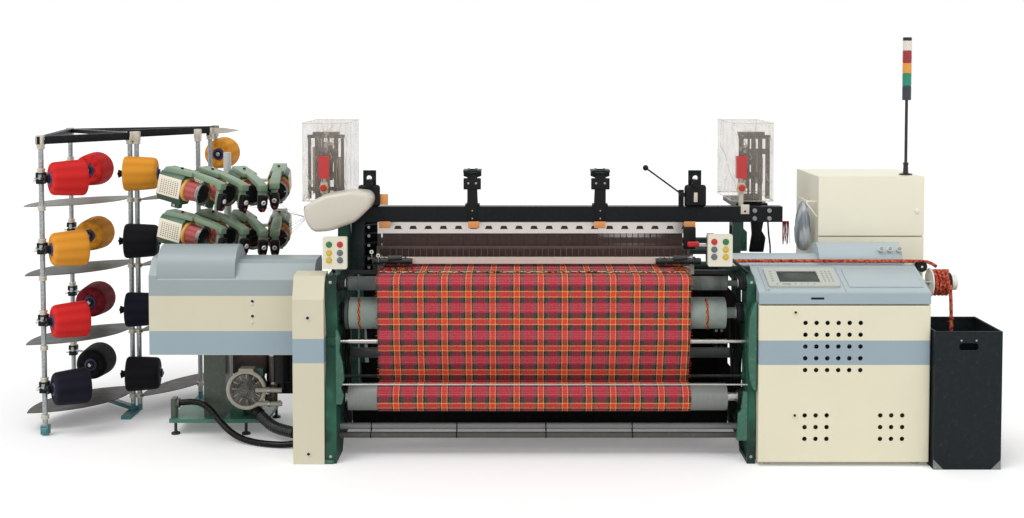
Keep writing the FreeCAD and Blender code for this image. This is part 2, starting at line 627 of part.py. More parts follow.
def electrical_cabinet():
    """Tall cabinet behind the console: open compartment above with its door, base open to the floor below."""
    x, y, z = ELECTRICAL_X, ELECTRICAL_Y, ELECTRICAL_Z
    front = y[0] + 24
    sill = ELECTRICAL_SILL
    body = box(x[0], x[1], front, y[1], z[0], z[1])
    upper = box(x[0] + SHEET, x[1] - SHEET, front - 1, y[1] - SHEET, sill, z[1] - SHEET)
    lower = box(x[0] + SHEET, x[1] - SHEET, front + SHEET, y[1] - SHEET, z[0] - 1, sill - SHEET)
    skirt = box(x[0], x[1], y[0] + 2, front, sill - 500, sill - 6)
    legs = [box(a, a + 40, b, b + 40, 0, z[0]) for a in (x[0], x[1] - 40) for b in (front, y[1] - 40)]
    hooks = []
    out, wall = x[0] - 66, x[0] + 2
    for hang in (-358, -152):
        brace = prism_y(((out, 1392), (out, 1380), (wall, 1290), (wall, 1302)), hang, hang + 5)
        hooks += [brace, box(out, wall, hang, hang + 5, 1384, 1394)]
    rail = box(out, out + 10, -358, -147, 1380, 1394)
    shell = cut(body, [upper, lower])
    save("electrical_cabinet", [fuse([shell, skirt, rail] + legs + hooks)])
    door = box(x[0], x[1], y[0], front - 1, sill + 2, z[1] - 2)
    door = door.cut(box(x[0] + 14, x[1] - 14, y[0] + SHEET, front + 1, sill + 16, z[1] - 16))
    lock = turned(((0, 14), (3, 14), (7, 9)), (x[1] - 42, y[0], 1335), (0, -1, 0))
    save("electrical_door", [fuse([door, lock])])
    middle = x[0] - 60
    sections = []
    for height, wide, deep in ((1085, 22, 60), (1150, 42, 95), (1280, 38, 85), (1379, 12, 60)):
        corners = ((-wide, -deep), (wide, -deep), (wide, deep), (-wide, deep), (-wide, -deep))
        sections.append(Part.makePolygon([V(middle + a, -250 + b, height) for a, b in corners]))
    save("filter_bag", [Part.makeLoft(sections, True, True)])


def signal_tower():
    x, y = 2515, -270
    base = ELECTRICAL_Z[1]
    foot = turned(((0, 38), (8, 38), (14, 16), (60, 14), (64, 17), (72, 17), (76, 9)), (x, y, base), (0, 0, 1))
    pole = rod((x, y, base + 70), (x, y, 1985), 9)
    lamp_levels = (1985, 2070, 2145, 2205, 2280, 2338, 2359)
    lamps = []
    for low, high in zip(lamp_levels, lamp_levels[1:]):
        lamps.append(turned(((low, 24), (low + 3, 26.5), (high - 3, 26.5), (high, 24)), (x, y, 0), (0, 0, 1)))
    save("signal_tower", [fuse([foot, pole] + lamps)])


def drum_bracket():
    """Plate on the cabinet's side with the drum's bearing and the guide roller's pin."""
    x, y, z = CABINET_X[1], DRUM["y"], DRUM["z"]
    gx, gz = GUIDE
    bearing = rod((x, y, z), (x + 42, y, z), 26)
    arm = box(x, x + 8, y - 30, y + 64, 780, gz - 36)
    tongue = box(x, gx + 16, -668, -656, gz - 60, gz + 20)
    pin = rod((gx, -660, gz), (gx, -724, gz), 6)
    bore = rod((x + 4, y, z), (x + 60, y, z), 12 + SHAFT_PLAY)
    return fuse([arm, bearing, tongue, pin]).cut(bore)


def waste_side():
    """Guide roller, waste drum and open bin at the right end, with the rope that runs over them."""
    x0, x1 = BIN_X
    y0, y1 = BIN_Y
    w = BIN_WALL
    bin_shape = Part.makeBox(x1 - x0, y1 - y0, BIN_TOP, V(x0, y0, 0))
    bin_shape = bin_shape.cut(box(x0 + w, x1 - w, y0 + w, y1 - w, w, BIN_TOP + 1))
    rim = box(x0, x1, y0, y1, BIN_TOP - 14, BIN_TOP).cut(box(x0 + 10, x1 - 10, y0 + 10, y1 - 10, BIN_TOP - 20, BIN_TOP + 1))
    slot = round_edges(box(x0 + 130, x1 - 130, y0 - 1, y0 + w + 1, 652, 692), 18, along("y"))
    corners = [box(a, a + 46, y0, y0 + w + 2, 0, 60) for a in (x0, x1 - 46)]
    save("waste_bin", [cut(fuse([bin_shape, rim] + corners), [slot])])
    cx, cy, cz = DRUM["x"], DRUM["y"], DRUM["z"]
    left = cx - 54
    axle = rod((CABINET_X[1] + 4, cy, cz), (cx + 92, cy, cz), 12)
    core = rod((left, cy, cz), (cx + 54, cy, cz), DRUM["r"])
    flange = rod((left - 8, cy, cz), (left, cy, cz), 80)
    hub = turned(((0, 44), (30, 44), (36, 38)), (cx + 54, cy, cz), (1, 0, 0))
    helix_r = DRUM["r"] + ROPE_R + 0.3
    turns = 4
    pitch = 21.0
    start_x = left + ROPE_R + 2
    save("waste_drum", [fuse([core, flange, hub, axle])] + [winding(start_x, cy, cz, helix_r, pitch, turns)])
    gx, gz = GUIDE
    guide = turned(((0, 30), (4, 30), (8, 20), (34, 20), (38, 30), (42, 30)), (gx, -679, gz), (0, -1, 0))
    save("guide_roller", [guide.cut(rod((gx, -650, gz), (gx, -740, gz), 6 + SHAFT_PLAY))])
    ry, run_z = ROPE_LINE
    run = route_tube(((1341, ry, run_z), (2490, ry, run_z), (2535, ry - 6, run_z - 10), (2556, ry - 28, run_z - 27)),
                     ROPE_R)
    front = cy - helix_r - 20
    fall = route_tube(((2610, front, 966), (2612, front - 4, 905), (2618, front, 800), (2622, front + 6, 620),
                       (2630, front, 430), (2640, front - 8, 250), (2655, front + 4, 90), (2672, front + 42, 22),
                       (2690, front + 100, 15)), ROPE_R)
    save("waste_rope", [run, fall])


def winding(x, y, z, radius, pitch, turns):
    """One unbroken rope wound as a helix on the drum; prints its least gap to itself."""
    step = turns * 4
    points = []
    for i in range(2 * step + 1):
        angle = math.pi / 2 + i * math.pi / 4
        points.append(V(x + pitch * angle / (2 * math.pi) - pitch / 4, y + radius * math.cos(angle), z + radius * math.sin(angle)))
    edges = [Part.Arc(points[i], points[i + 1], points[i + 2]).toShape() for i in range(0, 2 * step, 2)]
    path = Part.Wire(edges)
    heading = edges[0].tangentAt(edges[0].FirstParameter)
    outward = (points[0] - V(points[0].x, y, z)).normalize()
    across = heading.cross(outward)
    section = [points[0] + (outward * math.cos(a) + across * math.sin(a)) * ROPE_R
               for a in (math.radians(45 * k) for k in range(9))]
    print("winding gap", round(pitch - 2 * ROPE_R, 2))
    return path.makePipeShell([Part.makePolygon(section)], True, False)


# ---- creel --------------------------------------------------------------------------------
def creel():
    """Tube posts with feet, top bars, clamps and spindle holders; plates and packages sit between them."""
    members = []
    for name, (x, y) in CREEL_POSTS.items():
        bottom = 60 if name == "front" else 20
        members.append(rod((x, y, bottom), (x, y, CREEL_TOP), POST_R))
    x, y = CREEL_POSTS["middle"]
    members.append(rod((x + 42, y, 20), (x + 42, y, CREEL_TOP), POST_R))
    top = CREEL_TOP - 26

    def bar(a, b, z):
        """Flat black bar between two posts."""
        run = V(b[0] - a[0], b[1] - a[1], 0)
        along_bar = run.normalize()
        across = V(-along_bar.y, along_bar.x, 0) * 17
        ends = (V(a[0], a[1], 0) - along_bar * 22, V(b[0], b[1], 0) + along_bar * 22)
        corners = (ends[0] + across, ends[0] - across, ends[1] - across, ends[1] + across)
        return prism_z([(c.x, c.y) for c in corners], z, z + 26)

    pairs = (("front", "rear_left"), ("rear_left", "middle"), ("front", "middle"), ("middle", "inner_rear"),
             ("inner_rear", "rear"), ("rear_left", "rear"))
    for first, second in pairs:
        members.append(bar(CREEL_POSTS[first], CREEL_POSTS[second], top if first != "middle" else top + 14))
    members.append(bar(CREEL_POSTS["rear_left"], CREEL_POSTS["middle"], 20))
    members.append(bar(CREEL_POSTS["inner_rear"], CREEL_POSTS["rear"], 20))
    for name in ("middle", "inner", "rear", "rear_left"):
        x, y = CREEL_POSTS[name]
        length = 50 if name in ("rear",) else 160
        members.append(box(x - 30, x + 30, y - length, y + min(length, 50), 0, 22))
    x, y = CREEL_POSTS["front"]
    members.append(box(x - 10, x + 10, y - 8, y + 8, 46, 62))
    members += [box(x - 22, x - 16, y - 20, y + 26, 10, 62), box(x + 16, x + 22, y - 20, y + 26, 10, 62),
                box(x - 22, x + 22, y - 20, y + 26, 56, 62), rod((x - 15, y + 4, 30), (x + 15, y + 4, 30), 30),
                rod((x - 24, y + 4, 30), (x + 24, y + 4, 30), 6)]
    for level in PACKAGE_LEVELS:
        px, py = CREEL_POSTS["front"]
        members.append(rod((px - 40, py, level), (px + 45, py, level), 6))
        members.append(rod((px, py, level - 22), (px, py, level + 22), POST_R + 9))
        rx, ry = CREEL_POSTS["rear_left"]
        members.append(rod((rx, ry, level), (-2524, 440, level), 7))
        members.append(rod((-2524, 440, level), (-2524, 365, level), 6))
        members.append(rod((rx, ry, level - 22), (rx, ry, level + 22), POST_R + 9))
        mx, my = CREEL_POSTS["middle"]
        members.append(rod((mx, my, level), (mx + 111, my, level), 7))
        members.append(rod((mx + 111, my + 6, level), (mx + 111, my - 62, level), 6))
        members.append(rod((mx, my, level - 22), (mx, my, level + 22), POST_R + 9))
    ix, iy = CREEL_POSTS["rear"]
    members.append(rod((ix, iy, 1598), (ix + 90, iy - 40, 1598), 7))
    members.append(rod((ix + 90, iy - 34, 1598), (ix + 90, iy - 100, 1598), 6))
    frame = fuse(members)
    save("creel_frame", [frame])
    plates = []
    for level in PLATE_LEVELS:
        plates.append(leaf((-2740, -330), (-2290, 330), 190, level))
        plates.append(leaf((-2180, 60), (-1830, 760), 110, level))
    save("creel_plates", [plate.cut(frame) for plate in plates])
    packages = []
    for level in PACKAGE_LEVELS:
        packages.append(package((CREEL_POSTS["front"][0] + 45, CREEL_POSTS["front"][1], level), (1, 0, 0)))
        packages.append(package((-2524, 365, level), (0, -1, 0)))
        packages.append(package((CREEL_POSTS["middle"][0] + 111, CREEL_POSTS["middle"][1] - 62, level), (0, -1, 0)))
    packages.append(package((ix + 90, iy - 100, 1598), (0, -1, 0)))
    save("yarn_packages", packages)


def leaf(start, end, bulge, level):
    """Thin leaf-shaped separator plate: two arcs that meet in points."""
    a, b = V(start[0], start[1], level), V(end[0], end[1], level)
    middle = (a + b) * 0.5
    run = (b - a).normalize()
    side = V(-run.y, run.x, 0)
    arcs = [Part.Arc(a, middle + side * bulge, b).toShape(), Part.Arc(b, middle - side * bulge, a).toShape()]
    return Part.Face(Part.Wire(arcs)).extrude(V(0, 0, 4))


def package(base, direction):
    """Yarn wound as a blunt cone on its core."""
    return turned(((0, 92), (14, 106), (175, 84), (200, 66), (200, 26), (214, 26)), base, direction)


# ---- weft feeders -------------------------------------------------------------------------
def feeders():
    """Eight weft feeders fanned round the rapier's entry, in two rows, on a stand with levelling feet."""
    bodies = []
    unit = feeder()
    px, py = FEEDER_POST
    post = rod((px, py, 74), (px, py, 1644), 24)
    arms = []
    for row in ("top", "low"):
        for (x, y, yaw), z in zip(FEEDER_PLACES, FEEDERS[row]):
            body = unit.copy()
            body.Placement = feeder_place(x, y, z, yaw)
            bodies.append(body)
            back = body.Placement.multVec(V(-130, 0, 0))
            arms.append(rod((px, py, back.z), tuple(back), 11))
    save("weft_feeders", bodies)
    base = box(-1871, -1290, -400, 40, 74, 96)
    tail = box(px - 70, px + 70, 30, py + 70, 74, 96)
    column = box(-1680, -1550, -330, -200, 96, HOUSING_Z[0])
    column = column.cut(box(-1668, -1562, -318, -199, 95, HOUSING_Z[0] - 30))
    feet = []
    for fx, fy in ((-1840, -370), (-1780, -10), (-1420, -375), (-1310, -10), (px, py + 45)):
        feet.append(turned(((0, 26), (10, 26), (18, 9), (74, 9)), (fx, fy, 0), (0, 0, 1)))
    hx, hy, hz = HOSE_START
    inlet = box(hx - 32, hx - 4, hy - 32, hy + 32, 96, hz + 32)
    collar = tube((hx - 4, hy, hz), (hx + 14, hy, hz), 28, HOSE_R + 3)
    stand = fuse([post, base, tail, column, inlet, collar] + feet + arms)
    save("feeder_stand", [cut(stand, bodies)])


def feeder_place(x, y, z, yaw):
    """Where one feeder sits: its nose turned to the right from facing the weaver, and tilted down."""
    turn, tilt = math.radians(yaw), math.radians(FEEDER_TILT)
    axis = V(math.cos(turn) * math.cos(tilt), -math.sin(turn) * math.cos(tilt), -math.sin(tilt))
    side = V(0, 0, 1).cross(axis).normalize()
    return FreeCAD.Placement(V(x, y, z), FreeCAD.Rotation(axis, side, axis.cross(side), "XYZ"))


def feeder():
    """One feeder along +X: eight-sided motor housing, winding drum with its rings, top arm and yarn exit."""
    half, chamfer = 64, 26
    section = ((-half, -62), (-half, 54), (-half + chamfer, 80), (half - chamfer, 80), (half, 54), (half, -62),
               (half - chamfer, -98), (-half + chamfer, -98))
    shell = prism_x(section, -170, -6)
    ring = turned(((0, 68), (6, 71), (16, 71), (20, 66)), (-6, 0, -4), (1, 0, 0))
    drum = turned(((0, 60), (92, 54), (92, 30)), (14, 0, -4), (1, 0, 0))
    guide = turned(((0, 66), (5, 70), (12, 66)), (106, 0, -4), (1, 0, 0)).cut(rod((100, 0, -4), (130, 0, -4), 60))
    nose = turned(((0, 58), (8, 52), (12, 30)), (104, 0, -4), (1, 0, 0))
    spokes = box(107, 113, -64, 64, -9, 1)
    arm = prism_y(((-168, 70), (-140, 106), (30, 110), (238, 90), (238, 44), (206, 44), (60, 72)), -36, 36)
    hanger = box(106, 117, -16, 16, 50, 80)
    leg = prism_y(((206, 46), (228, 46), (228, -58), (214, -58), (206, -20)), -22, 22)
    exit_block = round_edges(box(226, 262, -34, 34, -66, 26), 14, along("x"))
    eyelet = turned(((0, 15), (8, 15), (12, 11)), (262, 0, -10), (1, 0, 0))
    eyelet = eyelet.cut(rod((250, 0, -10), (280, 0, -10), 6))
    clamp = box(-84, -30, -20, 20, -128, -96)
    return fuse([shell, ring, drum, guide, nose, spokes, arm, hanger, leg, exit_block, eyelet, clamp])


def vacuum_unit():
    """Round clear suction chamber with its ring, motor, pipes and the ribbed hose."""
    x, y, z = -1408, -420, 277
    chamber = turned(((0, 96), (8, 108), (90, 110), (96, 118), (112, 118), (120, 90)), (x, y + 110, z), (0, -1, 0))
    neck = rod((x, y + 110, z), (x, y + 190, z), 40)
    riser = rod((x + 150, y + 60, 190), (x + 150, y + 60, HOUSING_Z[0]), 24)
    elbow = rod((x + 100, y + 60, z - 60), (x + 150, y + 60, z - 60), 20)
    stand = box(x - 60, x + 60, y + 120, y + 180, 96, z)
    motor = rod((-1190, -440, 330), (-1190, -440, HOUSING_Z[0]), 48)
    socket = rod((-1352, -410, 147), (-1324, -429, 131), 36)
    feed = rod((-1352, -410, 147), (-1385, -340, 195), 28)
    save("vacuum_unit", [fuse([chamber, neck, stand, elbow, riser, socket, feed]), motor, ribbed_hose()])


def ribbed_hose():
    """Short corrugated hose along a gentle bend, with its bore open."""
    start, sag, end = V(-1322, -430, 130), V(-1220, -500, 70), V(-1100, -560, 62)
    curve = Part.BezierCurve()
    curve.setPoles([start, sag, end])
    count = 16

    def wall(radii):
        rings = []
        for i in range(2 * count + 1):
            at = i / (2 * count)
            low, high = curve.value(at), curve.tangent(at)[0]
            rings.append(Part.Wire(Part.makeCircle(radii[i % 2], low, high)))
        return Part.makeLoft(rings, True, True)

    return wall((34, 29)).cut(wall((29, 24)))


def floor_hose():
    """Black suction hose from the stand to the loom, lying along the floor."""
    points = (HOSE_START, (-1770, -342, 188), (-1690, -375, 192), (-1610, -425, 156), (-1540, -480, 92),
              (-1450, -540, 38), (-1340, -600, 19.5), (-1220, -650, 19.8), (-1110, -662, 21), (-1010, -640, 40),
              (-940, -606, 84), HOSE_SOCKET)
    save("floor_hose", [route_tube(points, HOSE_R)])


# ---- build --------------------------------------------------------------------------------
frames()
rollers()
sley_and_reed()
heddle_frames()
cloth_and_warp()
top_beam()
selvedge_units()
controls()
rapier_hood()
temples()
left_housing()
control_cabinet()
console()
electrical_cabinet()
signal_tower()
waste_side()
creel()
feeders()
vacuum_unit()
floor_hose()
whole_box = Part.makeCompound(list(SAVED.values())).BoundBox
print(len(SAVED), "nodes; box", whole_box)
print("facets", sum(len(shape.tessellate(1.0)[1]) for shape in SAVED.values()))
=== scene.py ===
"""Power loom with its creel, weft feeders, cabinets and waste bin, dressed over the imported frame."""

import math
import random

import bmesh
import bpy
from bpy.props import FloatProperty, FloatVectorProperty, IntProperty, PointerProperty
from mathutils import Matrix, Vector


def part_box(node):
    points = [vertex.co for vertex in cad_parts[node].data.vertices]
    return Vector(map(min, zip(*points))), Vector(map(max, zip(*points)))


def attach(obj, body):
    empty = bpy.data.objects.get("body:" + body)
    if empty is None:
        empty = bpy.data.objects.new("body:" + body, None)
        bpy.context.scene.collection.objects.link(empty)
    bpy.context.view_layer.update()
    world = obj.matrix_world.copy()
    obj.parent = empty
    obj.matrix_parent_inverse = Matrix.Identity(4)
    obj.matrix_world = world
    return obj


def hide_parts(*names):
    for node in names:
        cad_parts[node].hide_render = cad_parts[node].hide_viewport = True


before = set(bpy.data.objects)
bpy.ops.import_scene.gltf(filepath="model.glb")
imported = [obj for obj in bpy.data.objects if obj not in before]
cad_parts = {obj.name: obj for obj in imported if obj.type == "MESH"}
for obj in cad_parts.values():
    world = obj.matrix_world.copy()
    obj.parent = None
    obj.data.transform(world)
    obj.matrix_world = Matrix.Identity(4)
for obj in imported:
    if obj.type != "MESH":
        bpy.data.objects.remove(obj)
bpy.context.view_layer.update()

bl_info = {
    "name": "Power Loom",
    "version": (1, 0, 0),
    "blender": (4, 5, 0),
    "location": "View3D > Sidebar > Loom",
    "description": "Builds the finishes and soft pieces of a rapier weaving machine over its packed frame",
    "category": "Object",
}

MM = 0.001


def tone(red, green, blue):
    """A screen colour of 0 to 255 as the linear colour that a shader takes."""
    def linear(part):
        part /= 255
        return part / 12.92 if part <= 0.04045 else ((part + 0.055) / 1.055) ** 2.4
    return (linear(red), linear(green), linear(blue), 1.0)


# ---- sizes and colours that a user may change ---------------------------------------------
def colour_setting(name, description, red, green, blue):
    return FloatVectorProperty(name=name, description=description, subtype="COLOR", size=4, min=0.0,
        max=1.0, default=tone(red, green, blue))


class LoomColours(bpy.types.PropertyGroup):
    cream: colour_setting("Cream", "Powder coat of the cabinets", 228, 222, 196)
    band: colour_setting("Band", "Blue-grey band round the cabinets", 150, 168, 178)
    console: colour_setting("Console", "Blue-grey top covers", 176, 189, 192)
    casting: colour_setting("Casting", "Dark green enamel of the side frames", 28, 54, 47)
    bright_casting: colour_setting("Bright casting", "Lighter green of the machined castings", 46, 102, 82)
    feeder: colour_setting("Feeder", "Green plastic of the weft feeders", 128, 152, 126)
    beige: colour_setting("Hood", "Beige plastic of the rapier hood", 212, 206, 192)


class LoomSizes(bpy.types.PropertyGroup):
    yarn_pitch: FloatProperty(name="Yarn pitch", description="Distance between warp yarns that are drawn",
        default=0.004, min=0.002, max=0.02, subtype="DISTANCE", unit="LENGTH")
    dent_pitch: FloatProperty(name="Dent pitch", description="Distance between the dents of the reed",
        default=0.006, min=0.003, max=0.02, subtype="DISTANCE", unit="LENGTH")
    fringe_length: FloatProperty(name="Fringe length",
        description="Length of the loose ends at the cloth's edges", default=0.012, min=0.0, max=0.05,
        subtype="DISTANCE", unit="LENGTH")
    round_steps: IntProperty(name="Round steps", description="Sides of a large turned form", default=48,
        min=12, max=128)


class LoomLight(bpy.types.PropertyGroup):
    sky: FloatProperty(name="Sky", description="Level of the even light from all sides", default=0.60,
        min=0.0, max=2.0)
    key: FloatProperty(name="Key", description="Level of the soft lamp at the upper left", default=1.25,
        min=0.0, max=10.0)
    fill: FloatProperty(name="Fill", description="Level of the soft lamp at the upper right", default=0.42,
        min=0.0, max=10.0)
    lens: FloatProperty(name="Lens", description="Focal length of the view", default=44.7, min=10.0,
        max=200.0)


# ---- finishes -----------------------------------------------------------------------------
class Value:
    """One number that varies over a surface; arithmetic on it adds Math nodes."""

    def __init__(self, tree, socket):
        self.tree, self.socket = tree, socket

    def maths(self, operation, *others):
        values = {0: self, **{i + 1: other for i, other in enumerate(others)}}
        return Value(self.tree, self.tree.node("ShaderNodeMath", {"operation": operation},
            values).outputs[0])

    def __add__(self, other):
        return self.maths("ADD", other)

    def __sub__(self, other):
        return self.maths("SUBTRACT", other)

    def __rsub__(self, other):
        return self.maths("MULTIPLY_ADD", -1.0, other)

    def __mul__(self, other):
        return self.maths("MULTIPLY", other)

    def __truediv__(self, other):
        return self.maths("DIVIDE", other)

    def __mod__(self, other):
        return self.maths("FLOORED_MODULO", other)

    def above(self, level):
        return self.maths("GREATER_THAN", level)

    def below(self, level):
        return self.maths("LESS_THAN", level)

    def between(self, low, high):
        return self.above(low) * self.below(high)

    def wave(self):
        return self.maths("SINE") * 0.5 + 0.5

    def fade(self, low, high):
        """0 at low, 1 at high, smooth between."""
        node = self.tree.node("ShaderNodeMapRange", {"interpolation_type": "SMOOTHSTEP"}, {"Value": self,
            "From Min": low, "From Max": high})
        return Value(self.tree, node.outputs[0])


class Tree:
    """The nodes of a material or of the world."""

    def __init__(self, tree):
        self.tree = tree

    def node(self, kind, settings, values):
        made = self.tree.nodes.new(kind)
        for setting, value in settings.items():
            if setting == "stops":
                ramp = made.color_ramp
                while len(ramp.elements) < len(value):
                    ramp.elements.new(0.5)
                for element, (at, shade) in zip(ramp.elements, value):
                    element.position, element.color = at, tone(*shade)
            elif setting == "interpolation":
                made.color_ramp.interpolation = value
            else:
                setattr(made, setting, value)
        for name, value in values.items():
            self.feed(made.inputs[name], value)
        return made

    def feed(self, socket, value):
        """Links or sets a socket; a name is a colour setting, three numbers are a screen colour."""
        if isinstance(value, Value):
            value = value.socket
        elif isinstance(value, str):
            value = tuple(getattr(bpy.context.scene.loom_colours, value))
        elif isinstance(value, tuple) and len(value) == 3:
            value = tone(*value)
        if isinstance(value, bpy.types.NodeSocket):
            self.tree.links.new(value, socket)
        else:
            socket.default_value = value


class Paint(Tree):
    """A finish in the making: one Principled shader and the nodes that feed it."""

    def __init__(self, name):
        self.material = bpy.data.materials.new(name)
        self.material.use_nodes = True
        super().__init__(self.material.node_tree)
        self.shader = self.tree.nodes["Principled BSDF"]
        self.axes = {}

    def wear(self, **values):
        """Sets or links the shader's own sockets; Base_Color stands for Base Color."""
        for name, value in values.items():
            self.feed(self.shader.inputs[name.replace("_", " ")], value)
        return self.material

    def coordinates(self, output):
        if output not in self.axes:
            source = self.node("ShaderNodeTexCoord", {}, {}).outputs[output]
            parts = self.node("ShaderNodeSeparateXYZ", {}, {0: source}).outputs
            self.axes[output] = (source, *[Value(self, part) for part in parts])
        return self.axes[output]

    def place(self, axes="xyz"):
        """The coordinates of a point on the object, in metres, for each axis that is named."""
        found = [self.coordinates("Object")["xyz".index(axis) + 1] for axis in axes]
        return found if len(found) > 1 else found[0]

    def along(self):
        return self.coordinates("UV")[1:3]

    def vector(self, x, y, z):
        return self.node("ShaderNodeCombineXYZ", {}, {0: x, 1: y, 2: z}).outputs[0]

    def noise(self, scale, detail=3.0, vector=None, roughness=0.5):
        vector = vector or self.coordinates("Object")[0]
        made = self.node("ShaderNodeTexNoise", {}, {"Vector": vector, "Scale": scale, "Detail": detail,
            "Roughness": roughness})
        return Value(self, made.outputs[0])

    def cells(self, scale):
        vector = self.coordinates("Object")[0]
        return Value(self, self.node("ShaderNodeTexVoronoi", {}, {"Vector": vector,
            "Scale": scale}).outputs[0])

    def mix(self, share, first, second, blend="MIX"):
        made = self.node("ShaderNodeMix", {"data_type": "RGBA", "blend_type": blend}, {0: share, 6: first,
            7: second})
        return made.outputs[2]

    def layers(self, colour, *coats):
        """Lays coats of (share, colour) over a colour, one after the other."""
        for share, coat in coats:
            colour = self.mix(share, colour, coat)
        return colour

    def stripes(self, value, stops, interpolation="CONSTANT"):
        made = self.node("ShaderNodeValToRGB", {"interpolation": interpolation, "stops": stops}, {0: value})
        return made.outputs[0]

    def bump(self, height, distance):
        made = self.node("ShaderNodeBump", {}, {"Strength": 1.0, "Distance": distance, "Height": height})
        self.wear(Normal=made.outputs[0])

    def coated(self, colour, gloss, mottle, dust=0.0, shine=0.5, peel=0.00025):
        """Enamel or powder coat: slight cloudiness, orange peel and handling marks."""
        cloud = self.noise(3.5, 4.0)
        speck = self.noise(55.0, 3.0)
        darker = self.mix(1.0, colour, (*[1 - mottle * 2] * 3, 1.0), "MULTIPLY")
        shade = self.mix(cloud.fade(0.35, 0.7), colour, darker)
        if dust:
            shade = self.mix(speck.fade(0.5, 0.78) * dust, shade, (150, 142, 128))
        self.bump(self.noise(420.0, 2.0) + speck * 0.4, peel)
        return self.wear(Base_Color=shade, Roughness=speck * 0.16 + (gloss - 0.08),
            Specular_IOR_Level=shine)

    def wound(self, shade, glint):
        """Cross-wound yarn: two crossing families of threads over the package, with painted highlight on the
        threads and painted shade between them.
        """
        turn, height = self.along()
        rising = (height * YARN_RISE + turn * YARN_TURN).wave()
        falling = (height * YARN_RISE - turn * YARN_TURN).wave()
        thread = rising.maths("MAXIMUM", falling)
        layer = self.noise(40.0, 4.0, self.vector(turn * 0.4, height * 4.0, 0.0))
        self.bump(thread + layer, 0.0007)
        # The thread crests are mixed towards the glint colour as painted highlight, and the grooves keep the
        # darker colour as painted shade.
        return self.wear(Base_Color=self.mix(thread.fade(0.35, 0.95) * 0.8, shade, glint), Roughness=0.7,
            Specular_IOR_Level=0.15)


# plain coats: colour, gloss, mottle, dust, shine, orange peel
COATS = {
    "housing_coat": ((154, 165, 167), 0.38, 0.015),
    "bezel_coat": ((190, 193, 184), 0.5, 0.01),
    "grey_key": ((150, 154, 148), 0.42, 0.02),
    "bright_casting": ("bright_casting", 0.34, 0.08, 0.3, 0.5, 0.0008),
    "black_coat": ((24, 27, 29), 0.42, 0.12, 0.04, 0.15, 0.0005),
    "slate_iron": ((48, 60, 62), 0.5, 0.15, 0.1, 0.2),
    # Near black for cables and the guide block, and for the sheets of painted shade inside the frame.
    "guard_black": ((15, 16, 17), 0.6, 0.2, 0.03, 0.1),
    "beige_plastic": ("beige", 0.3, 0.02),
    "board_beige": ((206, 188, 164), 0.4, 0.06),
    "black_plastic": ((20, 21, 23), 0.38, 0.1, 0.0, 0.2),
    "slate_plastic": ((98, 110, 118), 0.3, 0.03),
    "red_plastic": ((196, 38, 40), 0.3, 0.03),
    "green_plastic": ((34, 122, 62), 0.3, 0.03),
    "yellow_plastic": ((214, 182, 62), 0.3, 0.03),
    "orange_tag": ((232, 158, 92), 0.4, 0.04),
    "core_blue": ((58, 52, 104), 0.4, 0.06),
    "feeder_green": ("feeder", 0.34, 0.06, 0.1),
    "feeder_dark_green": ((62, 92, 70), 0.36, 0.06, 0.1),
    "amber_ring": ((228, 170, 84), 0.32, 0.04),
    "white_ceramic": ((232, 228, 220), 0.16, 0.01),
    "ribbed_grey": ((46, 50, 51), 0.3, 0.08, 0.06),
    "ring_grey": ((196, 190, 174), 0.2, 0.06, 0.2),
    "pipe_brown": ((88, 78, 70), 0.42, 0.08, 0.25),
}
YARN_RISE, YARN_TURN = 2600.0, 31.416
# wound yarns: the yarn's colour darkened as painted shade between the threads, the colour of the painted
# highlight on the threads
YARNS = {
    "red_yarn": ((190, 26, 30), (232, 52, 48)),
    "orange_yarn": ((214, 132, 32), (244, 172, 64)),
    "dark_red_yarn": ((96, 16, 26), (140, 34, 44)),
    "navy_yarn": ((10, 11, 22), (30, 30, 46)),
    "black_yarn": ((9, 9, 11), (26, 26, 30)),
    "feeder_drum": ((160, 50, 54), (214, 128, 120)),
}
MAKERS = {}


def finish(make):
    """Lists a finish with a maker of its own."""
    MAKERS[make.__name__] = make
    return make


def material(name):
    """A finish's material, made the first time it is asked for."""
    label = "finish_" + name
    if label in bpy.data.materials:
        return bpy.data.materials[label]
    paint = Paint(label)
    if name in COATS:
        return paint.coated(*COATS[name])
    if name in YARNS:
        return paint.wound(*YARNS[name])
    return MAKERS[name](paint)


@finish
def cream_coat(paint):
    """Cream powder coat of the tall cabinet, mixed paler than the others as painted light."""
    # Painted light: the same cream as the other cabinets, mixed paler so that this cabinet reads brighter.
    return paint.coated(paint.mix(0.5, "cream", (255, 252, 234)), 0.42, 0.012)


@finish
def banded_cabinet(paint):
    """Cream powder coat with the blue-grey band at mid height, duller on the left cover."""
    x, z = paint.place("xz")
    edge = z.between(0.5605, 0.5622) + z.between(0.6948, 0.6965)
    colour = paint.layers("cream", (x.below(-0.7) * 0.55, (196, 190, 166)), (z.between(0.562, 0.695),
        "band"), (edge * 0.25, (120, 126, 124)))
    return paint.coated(colour, 0.42, 0.012)


@finish
def console_coat(paint):
    """Blue-grey top cover with a darker lip."""
    z = paint.place("z")
    return paint.coated(paint.mix(z.below(0.9575) * z.above(0.893), "console", (158, 175, 182)), 0.4, 0.012)


@finish
def dark_casting(paint):
    """Enamelled green iron: sand-cast grain, oil film and lint in the hollows."""
    y, z = paint.place("yz")
    front = y.fade(-0.55, -0.9) * z.fade(0.1, 0.3) * z.fade(0.98, 0.8)
    machined = paint.noise(7.0, 2.0).fade(0.45, 0.62) * 0.5 + front * 0.5
    lint = paint.noise(26.0, 5.0, roughness=0.7).fade(0.55, 0.8) * 0.16
    colour = paint.layers("casting", (machined, "bright_casting"), (lint, (118, 116, 104)))
    paint.bump(paint.noise(160.0, 4.0) + paint.noise(18.0, 2.0) * 0.5, 0.0016)
    return paint.wear(Base_Color=colour, Roughness=paint.noise(30.0, 3.0) * 0.3 + 0.3,
        Specular_IOR_Level=0.25)


